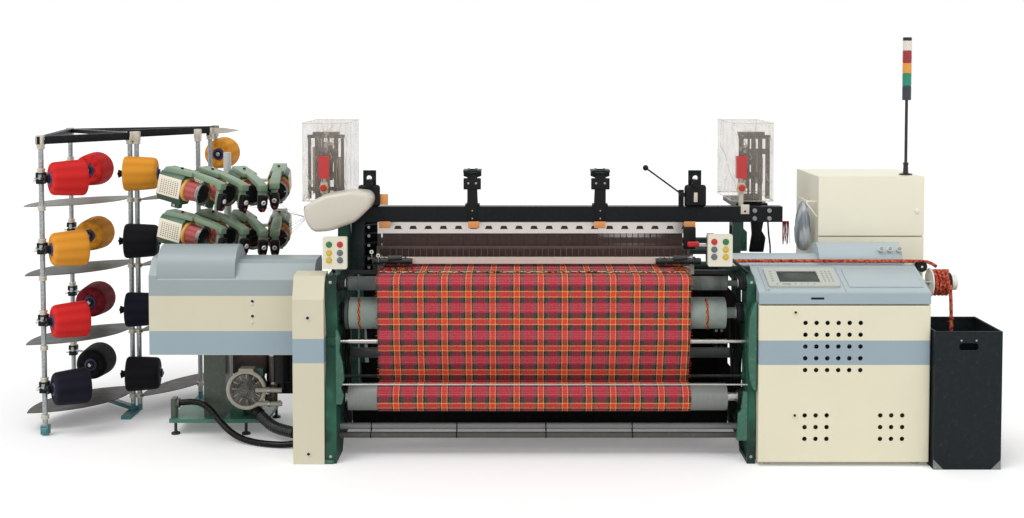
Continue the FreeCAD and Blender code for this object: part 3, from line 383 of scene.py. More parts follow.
@finish
def beam_coat(paint):
    """Black beam and head brackets, with the steel bolts that stand on it."""
    x, y, z = paint.place()
    bolts = x.between(1.560, 1.705) * y.below(-0.4015)
    colour = paint.layers((22, 26, 28), (z.above(1.3625), (24, 32, 32)), (bolts, (150, 152, 150)))
    return paint.coated(colour, 0.4, 0.1, 0.03, 0.15, 0.0004)


@finish
def creel_coat(paint):
    """Zinc tubes, black top bars and teal foot bars of the creel."""
    z = paint.place("z")
    bars, feet = z.above(1.748), z.below(0.0605)
    spangle = paint.mix(paint.cells(90.0), (136, 144, 146), (190, 196, 196))
    colour = paint.layers(spangle, (bars, (34, 37, 38)), (feet, (70, 130, 132)))
    paint.bump(paint.noise(220.0, 3.0), 0.0004)
    bare = (bars + feet).below(0.5)
    return paint.wear(Base_Color=colour, Metallic=bare * 0.75, Roughness=paint.noise(40.0,
        3.0) * 0.25 + 0.24)


@finish
def plate_metal(paint):
    """Grey separator plates, dull with fingermarks and fluff, with painted shade that darkens them behind
    and below.
    """
    x, z = paint.place("xz")
    fluff = paint.noise(48.0, 6.0, roughness=0.75).fade(0.55, 0.85) * 0.2
    # Painted shade: the plates behind and below 1.2 m are darker, and those below 0.3 m darkest.
    colour = paint.layers((128, 130, 119), (x.above(-2.235) + z.below(1.2), (84, 87, 80)), (z.below(0.3),
        (58, 50, 46)), (fluff, (190, 186, 176)))
    paint.bump(paint.noise(300.0, 2.0), 0.0003)
    return paint.wear(Base_Color=colour, Metallic=0.35, Roughness=paint.noise(20.0, 4.0) * 0.3 + 0.35)


@finish
def steel(paint):
    """Ground bright steel with fine turning lines across its length."""
    x, y, z = paint.place()
    lines = paint.noise(30.0, 4.0, paint.vector(x * 40.0, y * 2.0, z * 2.0))
    paint.bump(lines, 0.0003)
    return paint.wear(Base_Color=paint.mix(lines, (196, 194, 188), (150, 149, 145)), Metallic=1.0,
        Roughness=lines * 0.22 + 0.16)


@finish
def emery_sleeve(paint):
    """Rollers covered with a spiral strip of coarse emery cloth, dark with wear."""
    x, z = paint.place("xz")
    seam = ((x * 9.0 + z * 1.2) % 1.0).below(0.02)
    worn = paint.noise(7.0, 4.0).fade(0.35, 0.7)
    paint.bump(paint.cells(900.0) + seam * -2.0, 0.0009)
    return paint.wear(Base_Color=paint.layers((66, 72, 69), (worn, (98, 104, 99)), (seam * 0.5, (30, 32,
        32))), Roughness=0.86)


@finish
def takeup_sleeve(paint):
    """Grey grip roller with its dark flange."""
    worn = paint.noise(6.0, 4.0).fade(0.3, 0.7)
    paint.bump(paint.cells(700.0), 0.0006)
    flange = paint.place("x").below(-0.7435)
    return paint.wear(Base_Color=paint.layers((118, 127, 121), (worn, (142, 152, 145)), (flange, (60, 64,
        62))), Roughness=0.7)


@finish
def reed_metal(paint):
    """Brown varnished caps and baulks of the reed."""
    paint.bump(paint.noise(200.0, 2.0), 0.0003)
    return paint.wear(Base_Color=paint.mix(paint.noise(24.0, 3.0), (66, 50, 46), (84, 66, 60)),
        Metallic=0.2, Roughness=0.45)


@finish
def heddle_alloy(paint):
    """Frame rails: pale anodised above, dull and streaked below, with painted shade in the rail's slots."""
    x, y, z = paint.place()
    streak = paint.noise(12.0, 3.0, paint.vector(x * 6.0, y, z * 50.0))
    slots = ((x + 0.54) % 0.09).below(0.047) * z.between(1.217, 1.239) * y.above(-0.3135) * y.below(-0.309)
    # The rail's slots are painted near black: painted shade inside them.
    rail = paint.layers((250, 244, 238), (streak, (236, 230, 224)), (slots, (24, 22, 24)))
    paint.bump(streak, 0.0002)
    above = z.above(1.192)
    return paint.wear(Base_Color=paint.mix(above, (50, 40, 36), rail),
        Metallic=above * slots.below(0.5) * 0.9, Roughness=streak * 0.15 + 0.3)


@finish
def heddle_wire(paint):
    """Flat heddles seen edge on, brown with oil and lint."""
    return paint.wear(Base_Color=paint.mix(paint.noise(40.0, 3.0), (64, 48, 44), (112, 84, 76)),
        Roughness=0.5)


@finish
def clear_plastic(paint):
    """Blown clear hood: nearly invisible faces, a milky edge, and pale lines along its creases as painted
    highlight.
    """
    x, y, z = paint.place()
    haze = paint.noise(6.0, 6.0, roughness=0.7)
    folds = paint.noise(3.2, 1.0, paint.vector(x * 2.0, y * 2.0, z * 0.6))
    crease_highlight = ((folds * 9.0) % 1.0).between(0.0, 0.07) * haze.fade(0.4, 0.55)
    paint.bump(crease_highlight * 0.4 + folds * 3.0, 0.012)
    rim = z.above(1.844) + z.below(1.388)
    # Pale lines along the creases raise the alpha: painted highlight on the wrinkles.
    return paint.wear(Base_Color=paint.mix(haze, (232, 224, 212), (206, 194, 178)), Alpha=haze.fade(0.3,
        0.8) * 0.10 + crease_highlight * 0.3 + rim * 0.25 + 0.13, Roughness=0.1)


@finish
def smoked_clear(paint):
    """Clear round lid, dusty inside."""
    dust = paint.noise(9.0, 3.0)
    return paint.wear(Base_Color=paint.mix(dust, (150, 148, 140), (206, 204, 196)), Alpha=dust.fade(0.4,
        0.7) * 0.16 + 0.06, Roughness=0.06)


@finish
def black_rubber(paint):
    """Rubber of the hose and cables, with a dull sheen."""
    paint.bump(paint.noise(240.0, 3.0), 0.0006)
    return paint.wear(Base_Color=paint.mix(paint.noise(14.0, 4.0), (4, 5, 5), (16, 17, 17)),
        Roughness=paint.noise(60.0, 2.0) * 0.15 + 0.2, Specular_IOR_Level=0.22)


@finish
def tower_lamps(paint):
    """Signal column: dark base, green, orange, red and clear lenses and a black cap, on a black pole."""
    z = paint.place("z")
    lens = paint.stripes((z - 1.985) / 0.374, ((0.0, (46, 58, 66)), (0.2273, (30, 140, 112)), (0.4278, (232,
        158, 62)), (0.5882, (160, 46, 48)), (0.7888, (232, 226, 210)), (0.9439, (30, 30, 32))))
    paint.bump((z * 1200.0).wave(), 0.0003)
    return paint.wear(Base_Color=paint.mix(z.above(1.9851), (30, 32, 33), lens),
        Roughness=paint.noise(60.0) * 0.1 + 0.18)


@finish
def posts_coat(paint):
    """Button boxes, their arms, the pale posts and the red lamp boxes that they carry."""
    y, z = paint.place("yz")
    post = y.above(-0.40) * z.above(1.36)
    colour = paint.layers((42, 46, 46), (y.below(-0.8745), (226, 222, 202)), (post, (208, 200, 182)),
        (post * z.above(1.5235), (192, 52, 52)))
    return paint.coated(colour, 0.38, 0.02)


@finish
def stand_coat(paint):
    """Green base plate, pale post and dark column of the feeder stand."""
    y, z = paint.place("yz")
    colour = paint.layers((76, 86, 74), (z.above(0.0975) * y.above(0.12), (214, 218, 216)),
        (z.below(0.0975) * z.above(0.07), (66, 122, 102)), (z.below(0.0738), (36, 38, 38)))
    return paint.coated(colour, 0.38, 0.08, 0.2)


@finish
def bin_board(paint):
    """Black fibreboard bin with steel corners, dusty with fluff."""
    x, y, z = paint.place()
    corner = y.below(-1.0435) * ((x + z).below(2.505) + (x - z).above(2.760))
    fluff = paint.noise(36.0, 6.0, roughness=0.72).fade(0.5, 0.8) * 0.22
    colour = paint.layers((22, 29, 32), (fluff, (84, 88, 88)), (corner, (128, 132, 132)))
    paint.bump(paint.noise(320.0, 3.0), 0.0005)
    return paint.wear(Base_Color=colour, Roughness=paint.noise(18.0, 3.0) * 0.2 + 0.42,
        Specular_IOR_Level=0.2)


@finish
def bag_cloth(paint):
    """Grey filter cloth, woven fine, in soft folds with painted light and shade along them, darker towards
    the bottom.
    """
    y, z = paint.place("yz")
    weave = (y * 2600.0).wave() * (z * 2600.0).wave()
    paint.bump(weave + paint.noise(20.0, 3.0) * 2.0, 0.0005)
    # Painted light and shade: pale bands and grey hollows in a wave that stands for the folds.
    folds = (y * 60.0 + z * 24.0).wave().fade(0.2, 0.9)
    return paint.wear(Base_Color=paint.layers((150, 160, 168), (folds, (220, 226, 230)), (z.fade(1.36,
        1.1) * 0.4, (136, 142, 142))), Roughness=0.4)


GOLD, ORANGE, BLACK, TEAL, RED = (248, 206, 104), (226, 66, 42), (14, 13, 16), (60, 76, 76), (200, 32, 62)
NAVY, PINK, DEEP_TEAL = (24, 24, 50), (222, 176, 160), (26, 38, 38)


def check_stripes(first, starts, line, last):
    """Stops of one repeat: the first stripes, then thin lines of a colour on red, then the last stripes."""
    shade, width = line
    return (*first, *[stop for at in starts for stop in ((at, shade), (at + width, RED))], *last)


WARP_STRIPES = check_stripes(((0.0, GOLD), (0.026, ORANGE), (0.226, GOLD), (0.252, BLACK), (0.318, TEAL),
    (0.448, RED)), (0.500, 0.560, 0.620, 0.680, 0.740), (NAVY, 0.016), ((0.806, TEAL), (0.934, BLACK)))
WEFT_STRIPES = check_stripes(((0.0, GOLD), (0.026, ORANGE), (0.206, GOLD), (0.232, DEEP_TEAL), (0.430,
    RED)), (0.470, 0.530, 0.590, 0.650, 0.710), (PINK, 0.009), ((0.790, DEEP_TEAL),))
WARP_REPEAT, WEFT_REPEAT = 0.133, 0.1546
WARP_START, WEFT_START = 0.0885, 0.431
THREADS = 5276.0


def tartan(paint, across, length):
    """Colour and relief of the woven check at a place across and along the cloth, in metres."""
    warp = paint.stripes(((across - WARP_START) / WARP_REPEAT) % 1.0, WARP_STRIPES)
    weft = paint.stripes(((length - WEFT_START) / WEFT_REPEAT) % 1.0, WEFT_STRIPES)
    over = (((across + length) * 420.0) % 1.0).above(0.5)
    thread = (across * THREADS).wave() * (1 - over) + (length * THREADS).wave() * over
    fleck = paint.noise(900.0, 2.0).fade(0.55, 0.8) * 0.22
    return paint.layers(warp, (over, weft), (fleck, (206, 150, 130))), thread


@finish
def tartan_cloth(paint):
    across, length = paint.along()
    colour, thread = tartan(paint, across, length)
    paint.bump(thread + paint.noise(9.0, 2.0) * 3.0, 0.0004)
    return paint.wear(Base_Color=colour, Roughness=0.82)


@finish
def tartan_roll(paint):
    """The check wound on the roll, by turn and by width."""
    turn, across = paint.along()
    colour, thread = tartan(paint, across, turn * 0.4638 + 0.03)
    paint.bump(thread, 0.0004)
    return paint.wear(Base_Color=colour, Roughness=0.82)


@finish
def warp_yarn(paint):
    """Warp ends in the check's own colours, hairy and matt."""
    colour = paint.stripes(((paint.place("x") + -CLOTH_LEFT * MM - WARP_START) / WARP_REPEAT) % 1.0,
        WARP_STRIPES)
    twist = paint.noise(500.0, 2.0)
    paint.bump(twist, 0.0005)
    return paint.wear(Base_Color=paint.mix(twist * 0.4, colour, (120, 96, 88)), Roughness=0.85)


@finish
def waste_yarn(paint):
    """Cut selvedge strip twisted to a ragged rope: red, orange and near-black tufts."""
    tuft = paint.noise(62.0, 4.0, roughness=0.65)
    colour = paint.stripes(tuft, ((0.0, (52, 26, 30)), (0.40, (120, 30, 34)), (0.46, (178, 40, 38)), (0.54,
        (208, 84, 52)), (0.60, (226, 150, 90)), (0.66, (150, 36, 38))), "LINEAR")
    paint.bump(paint.noise(260.0, 4.0, roughness=0.7) + tuft, 0.006)
    return paint.wear(Base_Color=colour, Roughness=0.9)


@finish
def floor_white(paint):
    """Pale studio floor, a little lighter to the camera so that it meets the white backdrop."""
    seen = paint.node("ShaderNodeLightPath", {}, {}).outputs["Is Camera Ray"]
    lift = paint.mix(seen, (0.0, 0.0, 0.0, 1.0), (0.16, 0.16, 0.16, 1.0))
    return paint.wear(Base_Color=(246, 246, 246), Roughness=0.95, Emission_Color=lift,
        Emission_Strength=1.0, Specular_IOR_Level=0.0)


@finish
def screen_glass(paint):
    """Dark grey-green display behind gloss glass."""
    glow = paint.noise(14.0, 2.0)
    return paint.wear(Base_Color=paint.mix(glow, (46, 56, 52), (60, 70, 64)), Roughness=glow * 0.05 + 0.25,
        Specular_IOR_Level=0.3)


@finish
def feeder_cream(paint):
    """Cream side panel with rows of cooling slots, painted dark as shade inside them."""
    across, up = paint.along()
    slot = ((across * 62.0) % 1.0).between(0.25, 0.75) * ((up * 84.0) % 1.0).between(0.25, 0.7)
    slots = slot * (across.between(0.012, 0.146) * up.between(0.014, 0.100))
    paint.bump(slots * -1.0, 0.001)
    # The slots are painted dark brown: painted shade inside them, over the bump of their recess.
    return paint.wear(Base_Color=paint.mix(slots, (240, 233, 212), (104, 96, 80)),
        Roughness=paint.noise(40.0) * 0.1 + 0.4)


@finish
def pipe_wrap(paint):
    """Front pipes wound with black tape and pale braid, their lower half painted darker as shade, green
    pipes behind, all dusted with fluff.
    """
    x, y, z = paint.place()
    lap = (x * 26.0 + z * 3.0) % 1.0
    braid = (x * 900.0 + y * 400.0).wave() * (x * 900.0 - y * 400.0).wave()
    fluff = paint.noise(30.0, 6.0, roughness=0.7).fade(0.5, 0.78) * 0.3
    upper = paint.mix(braid, (130, 135, 134), (192, 196, 194))
    # Below 0.143 m the front pipes keep a darker grey: painted shade on their undersides.
    wrapped = paint.layers((78, 76, 73), (z.above(0.143), upper), (z.above(0.40), (36, 38, 38)))
    green = paint.mix(fluff, "casting", (110, 110, 100))
    colour = paint.mix(y.below(-0.70), green, paint.mix(fluff, wrapped, (120, 120, 114)))
    paint.bump(lap + paint.noise(120.0, 3.0) + braid, 0.0012)
    return paint.wear(Base_Color=colour, Roughness=0.6)


@finish
def roller_grey(paint):
    """Grey turned tube under the rolled cloth."""
    x, y, z = paint.place()
    lines = paint.noise(20.0, 4.0, paint.vector(x * 20.0, y, z))
    paint.bump(lines, 0.0003)
    return paint.wear(Base_Color=paint.mix(lines, (112, 116, 114), (140, 142, 138)), Metallic=0.3,
        Roughness=0.5)


@finish
def beam_metal(paint):
    """Cast aluminium flanges of the warp beam."""
    paint.bump(paint.noise(150.0, 3.0), 0.0006)
    return paint.wear(Base_Color=paint.mix(paint.noise(12.0, 4.0), (150, 154, 152), (178, 180, 176)),
        Metallic=0.6, Roughness=paint.noise(30.0) * 0.2 + 0.34)


@finish
def zinc(paint):
    """Cast zinc clamps."""
    paint.bump(paint.noise(120.0, 3.0), 0.0006)
    return paint.wear(Base_Color=paint.mix(paint.noise(30.0, 3.0), (224, 217, 200), (184, 179, 166)),
        Metallic=0.4, Roughness=0.36)


@finish
def green_grey(paint):
    """Inside of the suction chamber: green grey iron under red lint."""
    lint = paint.noise(13.0, 3.0).fade(0.35, 0.65)
    return paint.wear(Base_Color=paint.mix(lint, (72, 76, 72), (112, 90, 88)), Roughness=0.7)


@finish
def temple_metal(paint):
    """Bright temples with ribbed rollers and dark ends."""
    x, y, z = paint.place()
    lines = paint.noise(24.0, 4.0, paint.vector(x * 2.0, y * 40.0, z * 40.0))
    paint.bump(lines + y.below(-0.560) * (x * 900.0).wave(), 0.0008)
    dark = y.below(-0.562) + x.below(-0.600) + x.above(1.216)
    return paint.wear(Base_Color=paint.layers((236, 228, 218), (lines, (206, 198, 188)), (dark, (40, 42,
        40))), Metallic=0.15, Roughness=lines * 0.2 + 0.22)


@finish
def sley_metal(paint):
    """Sley beam and swords: grey enamel, worn bright along the race."""
    worn = paint.noise(14.0, 4.0).fade(0.5, 0.65) * paint.place("z").above(0.95)
    paint.bump(paint.noise(160.0, 3.0), 0.0005)
    return paint.wear(Base_Color=paint.mix(worn, (88, 96, 94), (150, 148, 142)), Metallic=worn * 0.6,
        Roughness=0.45)


# ---- shapes -------------------------------------------------------------------------------
RIGHT, FRONT, UP = (1, 0, 0), (0, -1, 0), (0, 0, 1)


def facing(direction):
    """Turns +Z to a direction."""
    return Vector(direction).to_track_quat("Z", "Y").to_matrix().to_4x4()


def round_edges(part, offset, segments):
    if offset:
        bmesh.ops.bevel(part, geom=part.edges[:], offset=offset, offset_type="OFFSET", segments=segments,
            profile=0.5, affect="EDGES", material=-1)


def circle(part, place, radius, segments):
    return bmesh.ops.create_circle(part, cap_ends=False, radius=radius, segments=segments,
        matrix=place)["verts"]


def bridge(part, rings):
    """Joins rings of vertices to a tube; each ring is made only when its turn comes."""
    last = None
    for verts in rings:
        edges = list({edge for vert in verts for edge in vert.link_edges})
        if last:
            bmesh.ops.bridge_loops(part, edges=last + edges)
        last = edges


def stations(spots):
    """The place of a tube's cross section at each point of its line."""
    for i, spot in enumerate(spots):
        ahead = spots[min(i + 1, len(spots) - 1)] - spots[max(i - 1, 0)]
        yield Matrix.Translation(spot) @ facing(ahead)


def around(count, centre, radius, shift=0.0):
    """Points spread round a circle about an axis along X, from a centre of (y, z)."""
    for i in range(count):
        turn = math.tau * (i + shift) / count
        yield centre[0] + radius * math.cos(turn), centre[1] + radius * math.sin(turn)


class Shape:
    """A mesh in the making, in millimetres; each form takes one of the piece's finishes by number."""

    def __init__(self):
        self.mesh = bmesh.new()
        self.mesh.loops.layers.uv.new("UVMap")

    def join(self, part, finish=0, places=(Matrix(),)):
        """Adds a small mesh once for each place."""
        bmesh.ops.remove_doubles(part, verts=part.verts, dist=0.001)
        bmesh.ops.recalc_face_normals(part, faces=part.faces)
        for face in part.faces:
            face.material_index = finish
        source = bpy.data.meshes.new("part")
        part.to_mesh(source)
        part.free()
        self.repeat(source, places)

    def repeat(self, source, places):
        for place in places:
            placed = source.copy()
            placed.transform(place)
            self.mesh.from_mesh(placed)
            bpy.data.meshes.remove(placed)
        bpy.data.meshes.remove(source)

    def block(self, low, high, finish=0, bevel=0.0, segments=2, place=Matrix(), mapped=False):
        part = bmesh.new()
        bmesh.ops.create_cube(part, size=1.0)
        bmesh.ops.scale(part, vec=[b - a for a, b in zip(low, high)], verts=part.verts)
        bmesh.ops.translate(part, vec=[(a + b) / 2 for a, b in zip(low, high)], verts=part.verts)
        round_edges(part, bevel, segments)
        if mapped:
            wrap = part.loops.layers.uv.new("UVMap")
            for loop in (loop for face in part.faces for loop in face.loops):
                loop[wrap].uv = ((loop.vert.co.x - low[0]) * MM, (loop.vert.co.z - low[2]) * MM)
        self.join(part, finish, (place,))

    def blocks(self, finish, bevel, *rows, **more):
        """Blocks of one finish and bevel; a row is a low corner and a high one."""
        for row in rows:
            self.block(row[:3], row[3:], finish, bevel, **more)

    def rod(self, start, end, radius, finish=0, tip=None, sides=16):
        part = bmesh.new()
        run = Vector(end) - Vector(start)
        bmesh.ops.create_cone(part, cap_ends=True, segments=sides, radius1=radius, radius2=radius
            if tip is None else tip, depth=run.length)
        bmesh.ops.translate(part, vec=(0, 0, run.length / 2), verts=part.verts)
        self.join(part, finish, (Matrix.Translation(start) @ facing(run),))

    def pin(self, start, axis, length, radius, finish=0, sides=16):
        """A rod along X, Y or Z."""
        end = [part + (length if name == axis else 0) for name, part in zip("xyz", start)]
        self.rod(start, end, radius, finish, sides=sides)

    def turned(self, profile, base, direction, finish=0, sides=32, places=(Matrix(),), mapped=False):
        """Spins a profile of (along, radius) about a direction; one that is open at both ends is a ring."""
        if profile[0][1] and profile[-1][1]:
            profile = (*profile, profile[0])
        part = bmesh.new()
        points = [part.verts.new((radius, 0, along)) for along, radius in profile]
        edges = [part.edges.new(pair) for pair in zip(points, points[1:])]
        bmesh.ops.spin(part, geom=points + edges, cent=(0, 0, 0), axis=(0, 0, 1), angle=math.tau,
            steps=sides, use_merge=True)
        bmesh.ops.remove_doubles(part, verts=part.verts, dist=0.001)
        bmesh.ops.holes_fill(part, edges=part.edges[:], sides=0)
        if mapped:
            wrap = part.loops.layers.uv.new("UVMap")
            for face in part.faces:
                middle = math.atan2(face.calc_center_median().y, face.calc_center_median().x)
                for loop in face.loops:
                    angle = math.atan2(loop.vert.co.y, loop.vert.co.x)
                    angle += math.tau * round((middle - angle) / math.tau)
                    loop[wrap].uv = (angle / math.tau, loop.vert.co.z * MM)
        at = Matrix.Translation(base) @ facing(direction)
        self.join(part, finish, [place @ at for place in places])

    def plate(self, outline, axis, start, end, finish=0, bevel=0.0, segments=2):
        """An outline in the plane across an axis, from start to end along it."""
        part = bmesh.new()
        order = {"x": (2, 0, 1), "y": (0, 2, 1)}[axis]
        corners = []
        for first, second in outline:
            spot = (first, second, start)
            corners.append(part.verts.new([spot[i] for i in order]))
        face = part.faces.new(corners)
        grown = bmesh.ops.extrude_face_region(part, geom=[face])["geom"]
        step = Vector([(0, 0, end - start)[i] for i in order])
        bmesh.ops.translate(part, vec=step, verts=[g for g in grown if isinstance(g, bmesh.types.BMVert)])
        bmesh.ops.recalc_face_normals(part, faces=part.faces)
        round_edges(part, bevel, segments)
        self.join(part, finish)

    def strand(self, points, radius, finish=0, sides=6):
        """A thin tube through points."""
        part = bmesh.new()
        bridge(part, (circle(part, place, radius, sides) for place in stations([Vector(point)
            for point in points])))
        bmesh.ops.holes_fill(part, edges=part.edges[:], sides=0)
        self.join(part, finish)

    def piece(self, name, finishes, slot, body="root", replaces=(), sharp=38.0):
        """Turns the mesh to metres, shades it, gives it its finishes and lets it ride on a CAD body."""
        bmesh.ops.scale(self.mesh, vec=(MM, MM, MM), verts=self.mesh.verts)
        data = bpy.data.meshes.new(name)
        self.mesh.to_mesh(data)
        self.mesh.free()
        data.shade_smooth()
        data.set_sharp_from_angle(angle=math.radians(sharp))
        for made in finishes.split():
            data.materials.append(material(made))
        return settle(bpy.data.objects.new(name, data), body, replaces)


def settle(made, body, replaces):
    """Puts an object in the scene, on a CAD body and in place of nodes."""
    bpy.context.scene.collection.objects.link(made)
    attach(made, body)
    if replaces:
        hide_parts(*replaces)
    return made


def metres(points):
    return [tuple(part * MM for part in point) for point in points]


def spline_of(name, points, steps):
    """A curve's data: one smooth spline through a route."""
    data = bpy.data.curves.new(name, "CURVE")
    data.dimensions = "3D"
    data.resolution_u = steps
    spline = data.splines.new("NURBS")
    spline.points.add(len(points) - 1)
    for point, place in zip(spline.points, points):
        point.co = (*place, 1.0)
    spline.order_u = 3
    spline.use_endpoint_u = True
    return data


def cord(name, points, radius, made, replaces, body="root", sides=5):
    """A free cord on one smooth spline through its route."""
    data = spline_of(name, metres(points), 16)
    data.bevel_depth = radius * MM
    data.bevel_resolution = sides
    data.use_fill_caps = True
    data.materials.append(material(made))
    return settle(bpy.data.objects.new(name, data), body, (replaces,))


def line_of(points, count):
    """Evenly spread points, in millimetres, of the smooth spline through a route."""
    data = spline_of("line", points, 24)
    holder = bpy.data.objects.new("line", data)
    mesh = bpy.data.meshes.new_from_object(holder)
    line = [vert.co.copy() for vert in mesh.vertices]
    bpy.data.meshes.remove(mesh)
    bpy.data.objects.remove(holder)
    bpy.data.curves.remove(data)
    spans = [(b - a).length for a, b in zip(line, line[1:])]
    total, spots, at, done = sum(spans), [], 0, 0.0
    for i in range(count):
        target = total * i / (count - 1)
        while at < len(spans) - 1 and done + spans[at] < target:
            done += spans[at]
            at += 1
        spots.append(line[at].lerp(line[at + 1], min(1.0, (target - done) / max(spans[at], 1e-9))))
    return spots


# ---- the stage ----------------------------------------------------------------------------
CAMERA_PLACE, CAMERA_PITCH, CAMERA_SHIFT = (0.214, -7.853, 2.165), 2.52, (-0.0086, -0.13)
KEY_AIM, FILL_AIM, LAMP_ANGLE = (0.38, 0.42, -0.86), (-0.5, 0.6, -0.6), 35
FLOOR_REACH = 400.0


class LOOM_OT_stage(bpy.types.Operator):
    """Camera at the photograph's angle, soft lamps, white surroundings and a pale floor"""
    bl_idname = "loom.stage"
    bl_label = "Stage"

    def execute(self, context):
        scene, light = context.scene, context.scene.loom_light
        scene.view_settings.view_transform = "Standard"
        data = bpy.data.cameras.new("view")
        data.lens, data.sensor_width, data.sensor_fit = light.lens, 36.0, "HORIZONTAL"
        data.shift_x, data.shift_y = CAMERA_SHIFT
        camera = bpy.data.objects.new("view", data)
        camera.location = CAMERA_PLACE
        camera.rotation_euler = (math.radians(90 - CAMERA_PITCH), 0, 0)
        scene.collection.objects.link(camera)
        scene.camera = camera
        for name, power, aim in (("key_lamp", light.key, KEY_AIM), ("fill_lamp", light.fill, FILL_AIM)):
            lamp = bpy.data.lights.new(name, "SUN")
            lamp.energy, lamp.angle = power, math.radians(LAMP_ANGLE)
            lit = bpy.data.objects.new(name, lamp)
            lit.rotation_euler = Vector(aim).to_track_quat("-Z", "Y").to_euler()
            scene.collection.objects.link(lit)
        scene.world = bpy.data.worlds.new("studio")
        scene.world.use_nodes = True
        studio = Tree(scene.world.node_tree)
        rays = studio.node("ShaderNodeLightPath", {}, {}).outputs
        seen = Value(studio, rays["Is Camera Ray"])
        for ray in ("Is Glossy Ray", "Is Transmission Ray"):
            seen = seen.maths("MAXIMUM", rays[ray])
        level = studio.node("ShaderNodeMapRange", {}, {"Value": seen, "To Min": light.sky, "To Max": 1.0})
        background = studio.tree.nodes["Background"].inputs
        studio.feed(background["Color"], (1.0, 1.0, 1.0, 1.0))
        studio.feed(background["Strength"], level.outputs[0])
        ground = bmesh.new()
        bmesh.ops.create_grid(ground, x_segments=1, y_segments=1, size=FLOOR_REACH)
        mesh = bpy.data.meshes.new("floor")
        ground.to_mesh(mesh)
        ground.free()
        mesh.materials.append(material("floor_white"))
        floor = bpy.data.objects.new("floor", mesh)
        scene.collection.objects.link(floor)
        return {"FINISHED"}


# ---- cords --------------------------------------------------------------------------------
ROPE_RUN = ((1341, -700, 1084.9), (1620, -700, 1086.5), (2200, -700, 1083.5), (2490, -700, 1084.9), (2535,
    -706, 1074.9), (2556, -728, 1057.9))
ROPE_FALL = ((2610, -805.8, 966), (2612, -809.8, 905), (2618, -805.8, 800), (2622, -799.8, 620), (2630,
    -805.8, 430), (2640, -813.8, 250), (2655, -801.8, 90), (2672, -763.8, 22), (2690, -705.8, 15))
ROPES = (("waste_rope_run", ROPE_RUN, 1.226, "object", "taut"), ("waste_rope_fall", ROPE_FALL, 1.02, "bare",
    "hanging"))
ROPE_RADIUS = 9.5
FLOOR_HOSE = ((-1836, -340, 178), (-1770, -342, 188), (-1690, -375, 192), (-1610, -425, 156), (-1540, -480,
    92), (-1450, -540, 38), (-1340, -600, 19.5), (-1220, -650, 19.8), (-1110, -662, 21), (-1010, -640, 40),
    (-940, -606, 84), (-884, -600, 92))


def tufts(name, line, count, seed, body="root"):
    """A piece of short yarn ends that stand off a rope's line."""
    pick, shape = random.Random(seed), Shape()
    for _ in range(count):
        spot = line[pick.randrange(1, len(line) - 1)]
        lean = Vector((pick.uniform(-1, 1), pick.uniform(-1, 1), pick.uniform(-1, 1))).normalized()
        size = pick.uniform(0.6, 1.0) * 17.0
        bend = Vector((pick.uniform(-1, 1), pick.uniform(-1, 1), -0.6)) * size * 0.25
        shape.strand([spot + lean * 6.0, spot + lean * (size * 0.7) + bend * 0.4,
            spot + lean * size + bend], 1.2, pick.randrange(3), sides=3)
    return shape.piece(name, "red_yarn orange_yarn black_yarn", None, body)


class LOOM_OT_waste_rope(bpy.types.Operator):
    """Waste rope from the cloth's right edge to the drum, and its loose end down into the bin"""
    bl_idname = "loom.waste_rope"
    bl_label = "Waste rope"

    def execute(self, context):
        for name, points, length, far_end, lay in ROPES:
            rope = cord(name, points, ROPE_RADIUS, "waste_yarn", "waste_rope")
            ends = tufts(name + "_tufts", line_of(points, 160), 320, name)
            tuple(metres(points[:1])[0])
        return {"FINISHED"}


class LOOM_OT_floor_hose(bpy.types.Operator):
    """Black suction hose that lies along the floor on the left"""
    bl_idname = "loom.floor_hose"
    bl_label = "Floor hose"

    def execute(self, context):
        hose = cord("floor_hose_line", FLOOR_HOSE, 18.5, "black_rubber", "floor_hose", sides=8)
        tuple(metres(FLOOR_HOSE[:1])[0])
        return {"FINISHED"}


# ---- cloth and warp -----------------------------------------------------------------------
CLOTH_LEFT, CLOTH_RIGHT = -579, 1153
CLOTH_WIDTH = CLOTH_RIGHT - CLOTH_LEFT
CLOTH_THICKNESS = 0.0012
FELL = (-520, 1030, 0)
ROLL_AXIS, BEAM_AXIS = (-850, 349), (500, 500)
BREAST_AXIS, TAKEUP_AXIS = (-850, 984), (-780, 805)
SHAFT_LEFT = -848
CLOTH_STOPS = (FELL, (*BREAST_AXIS, -40.8), (-857, 660, -15.3), (*ROLL_AXIS, 80.8))
WARP_STOPS = (FELL, (570, 984, 66.8), (*BEAM_AXIS, 301.8))


def belt_line(stops, step=6.0):
    """(y, z) points of a band that runs from stop to stop; a stop is (y, z, gap on its left)."""
    line, last = [], None
    for (ay, az, reach_a), (by, bz, reach_b) in zip(stops, stops[1:]):
        span = math.hypot(by - ay, bz - az)
        heading = math.atan2(bz - az, by - ay) - math.asin((reach_a - reach_b) / span)
        across = heading + math.pi / 2
        if last is not None:
            turn = (across - last + math.pi) % math.tau - math.pi
            count = max(2, round(abs(turn * reach_a) / step))
            angles = [last + turn * i / count for i in range(1, count)]
            line += [(ay + reach_a * math.cos(angle), az + reach_a * math.sin(angle)) for angle in angles]
        for y, z, reach in ((ay, az, reach_a), (by, bz, reach_b)):
            line.append((y + reach * math.cos(across), z + reach * math.sin(across)))
        last = across
    return line


def lengths_of(line):
    """Distance along a line at each of its points."""
    total = [0.0]
    for a, b in zip(line, line[1:]):
        total.append(total[-1] + math.dist(a, b))
    return total


def cut_up(line, longest):
    """The same line with its long spans cut in equal steps."""
    spaced = []
    for (a, b), (start, end) in zip(zip(line, line[1:]), zip(lengths_of(line), lengths_of(line)[1:])):
        cuts = max(1, int((end - start) / longest))
        spaced += [(a[0] + (b[0] - a[0]) * c / cuts, a[1] + (b[1] - a[1]) * c / cuts) for c in range(cuts)]
    return [*spaced, line[-1]]


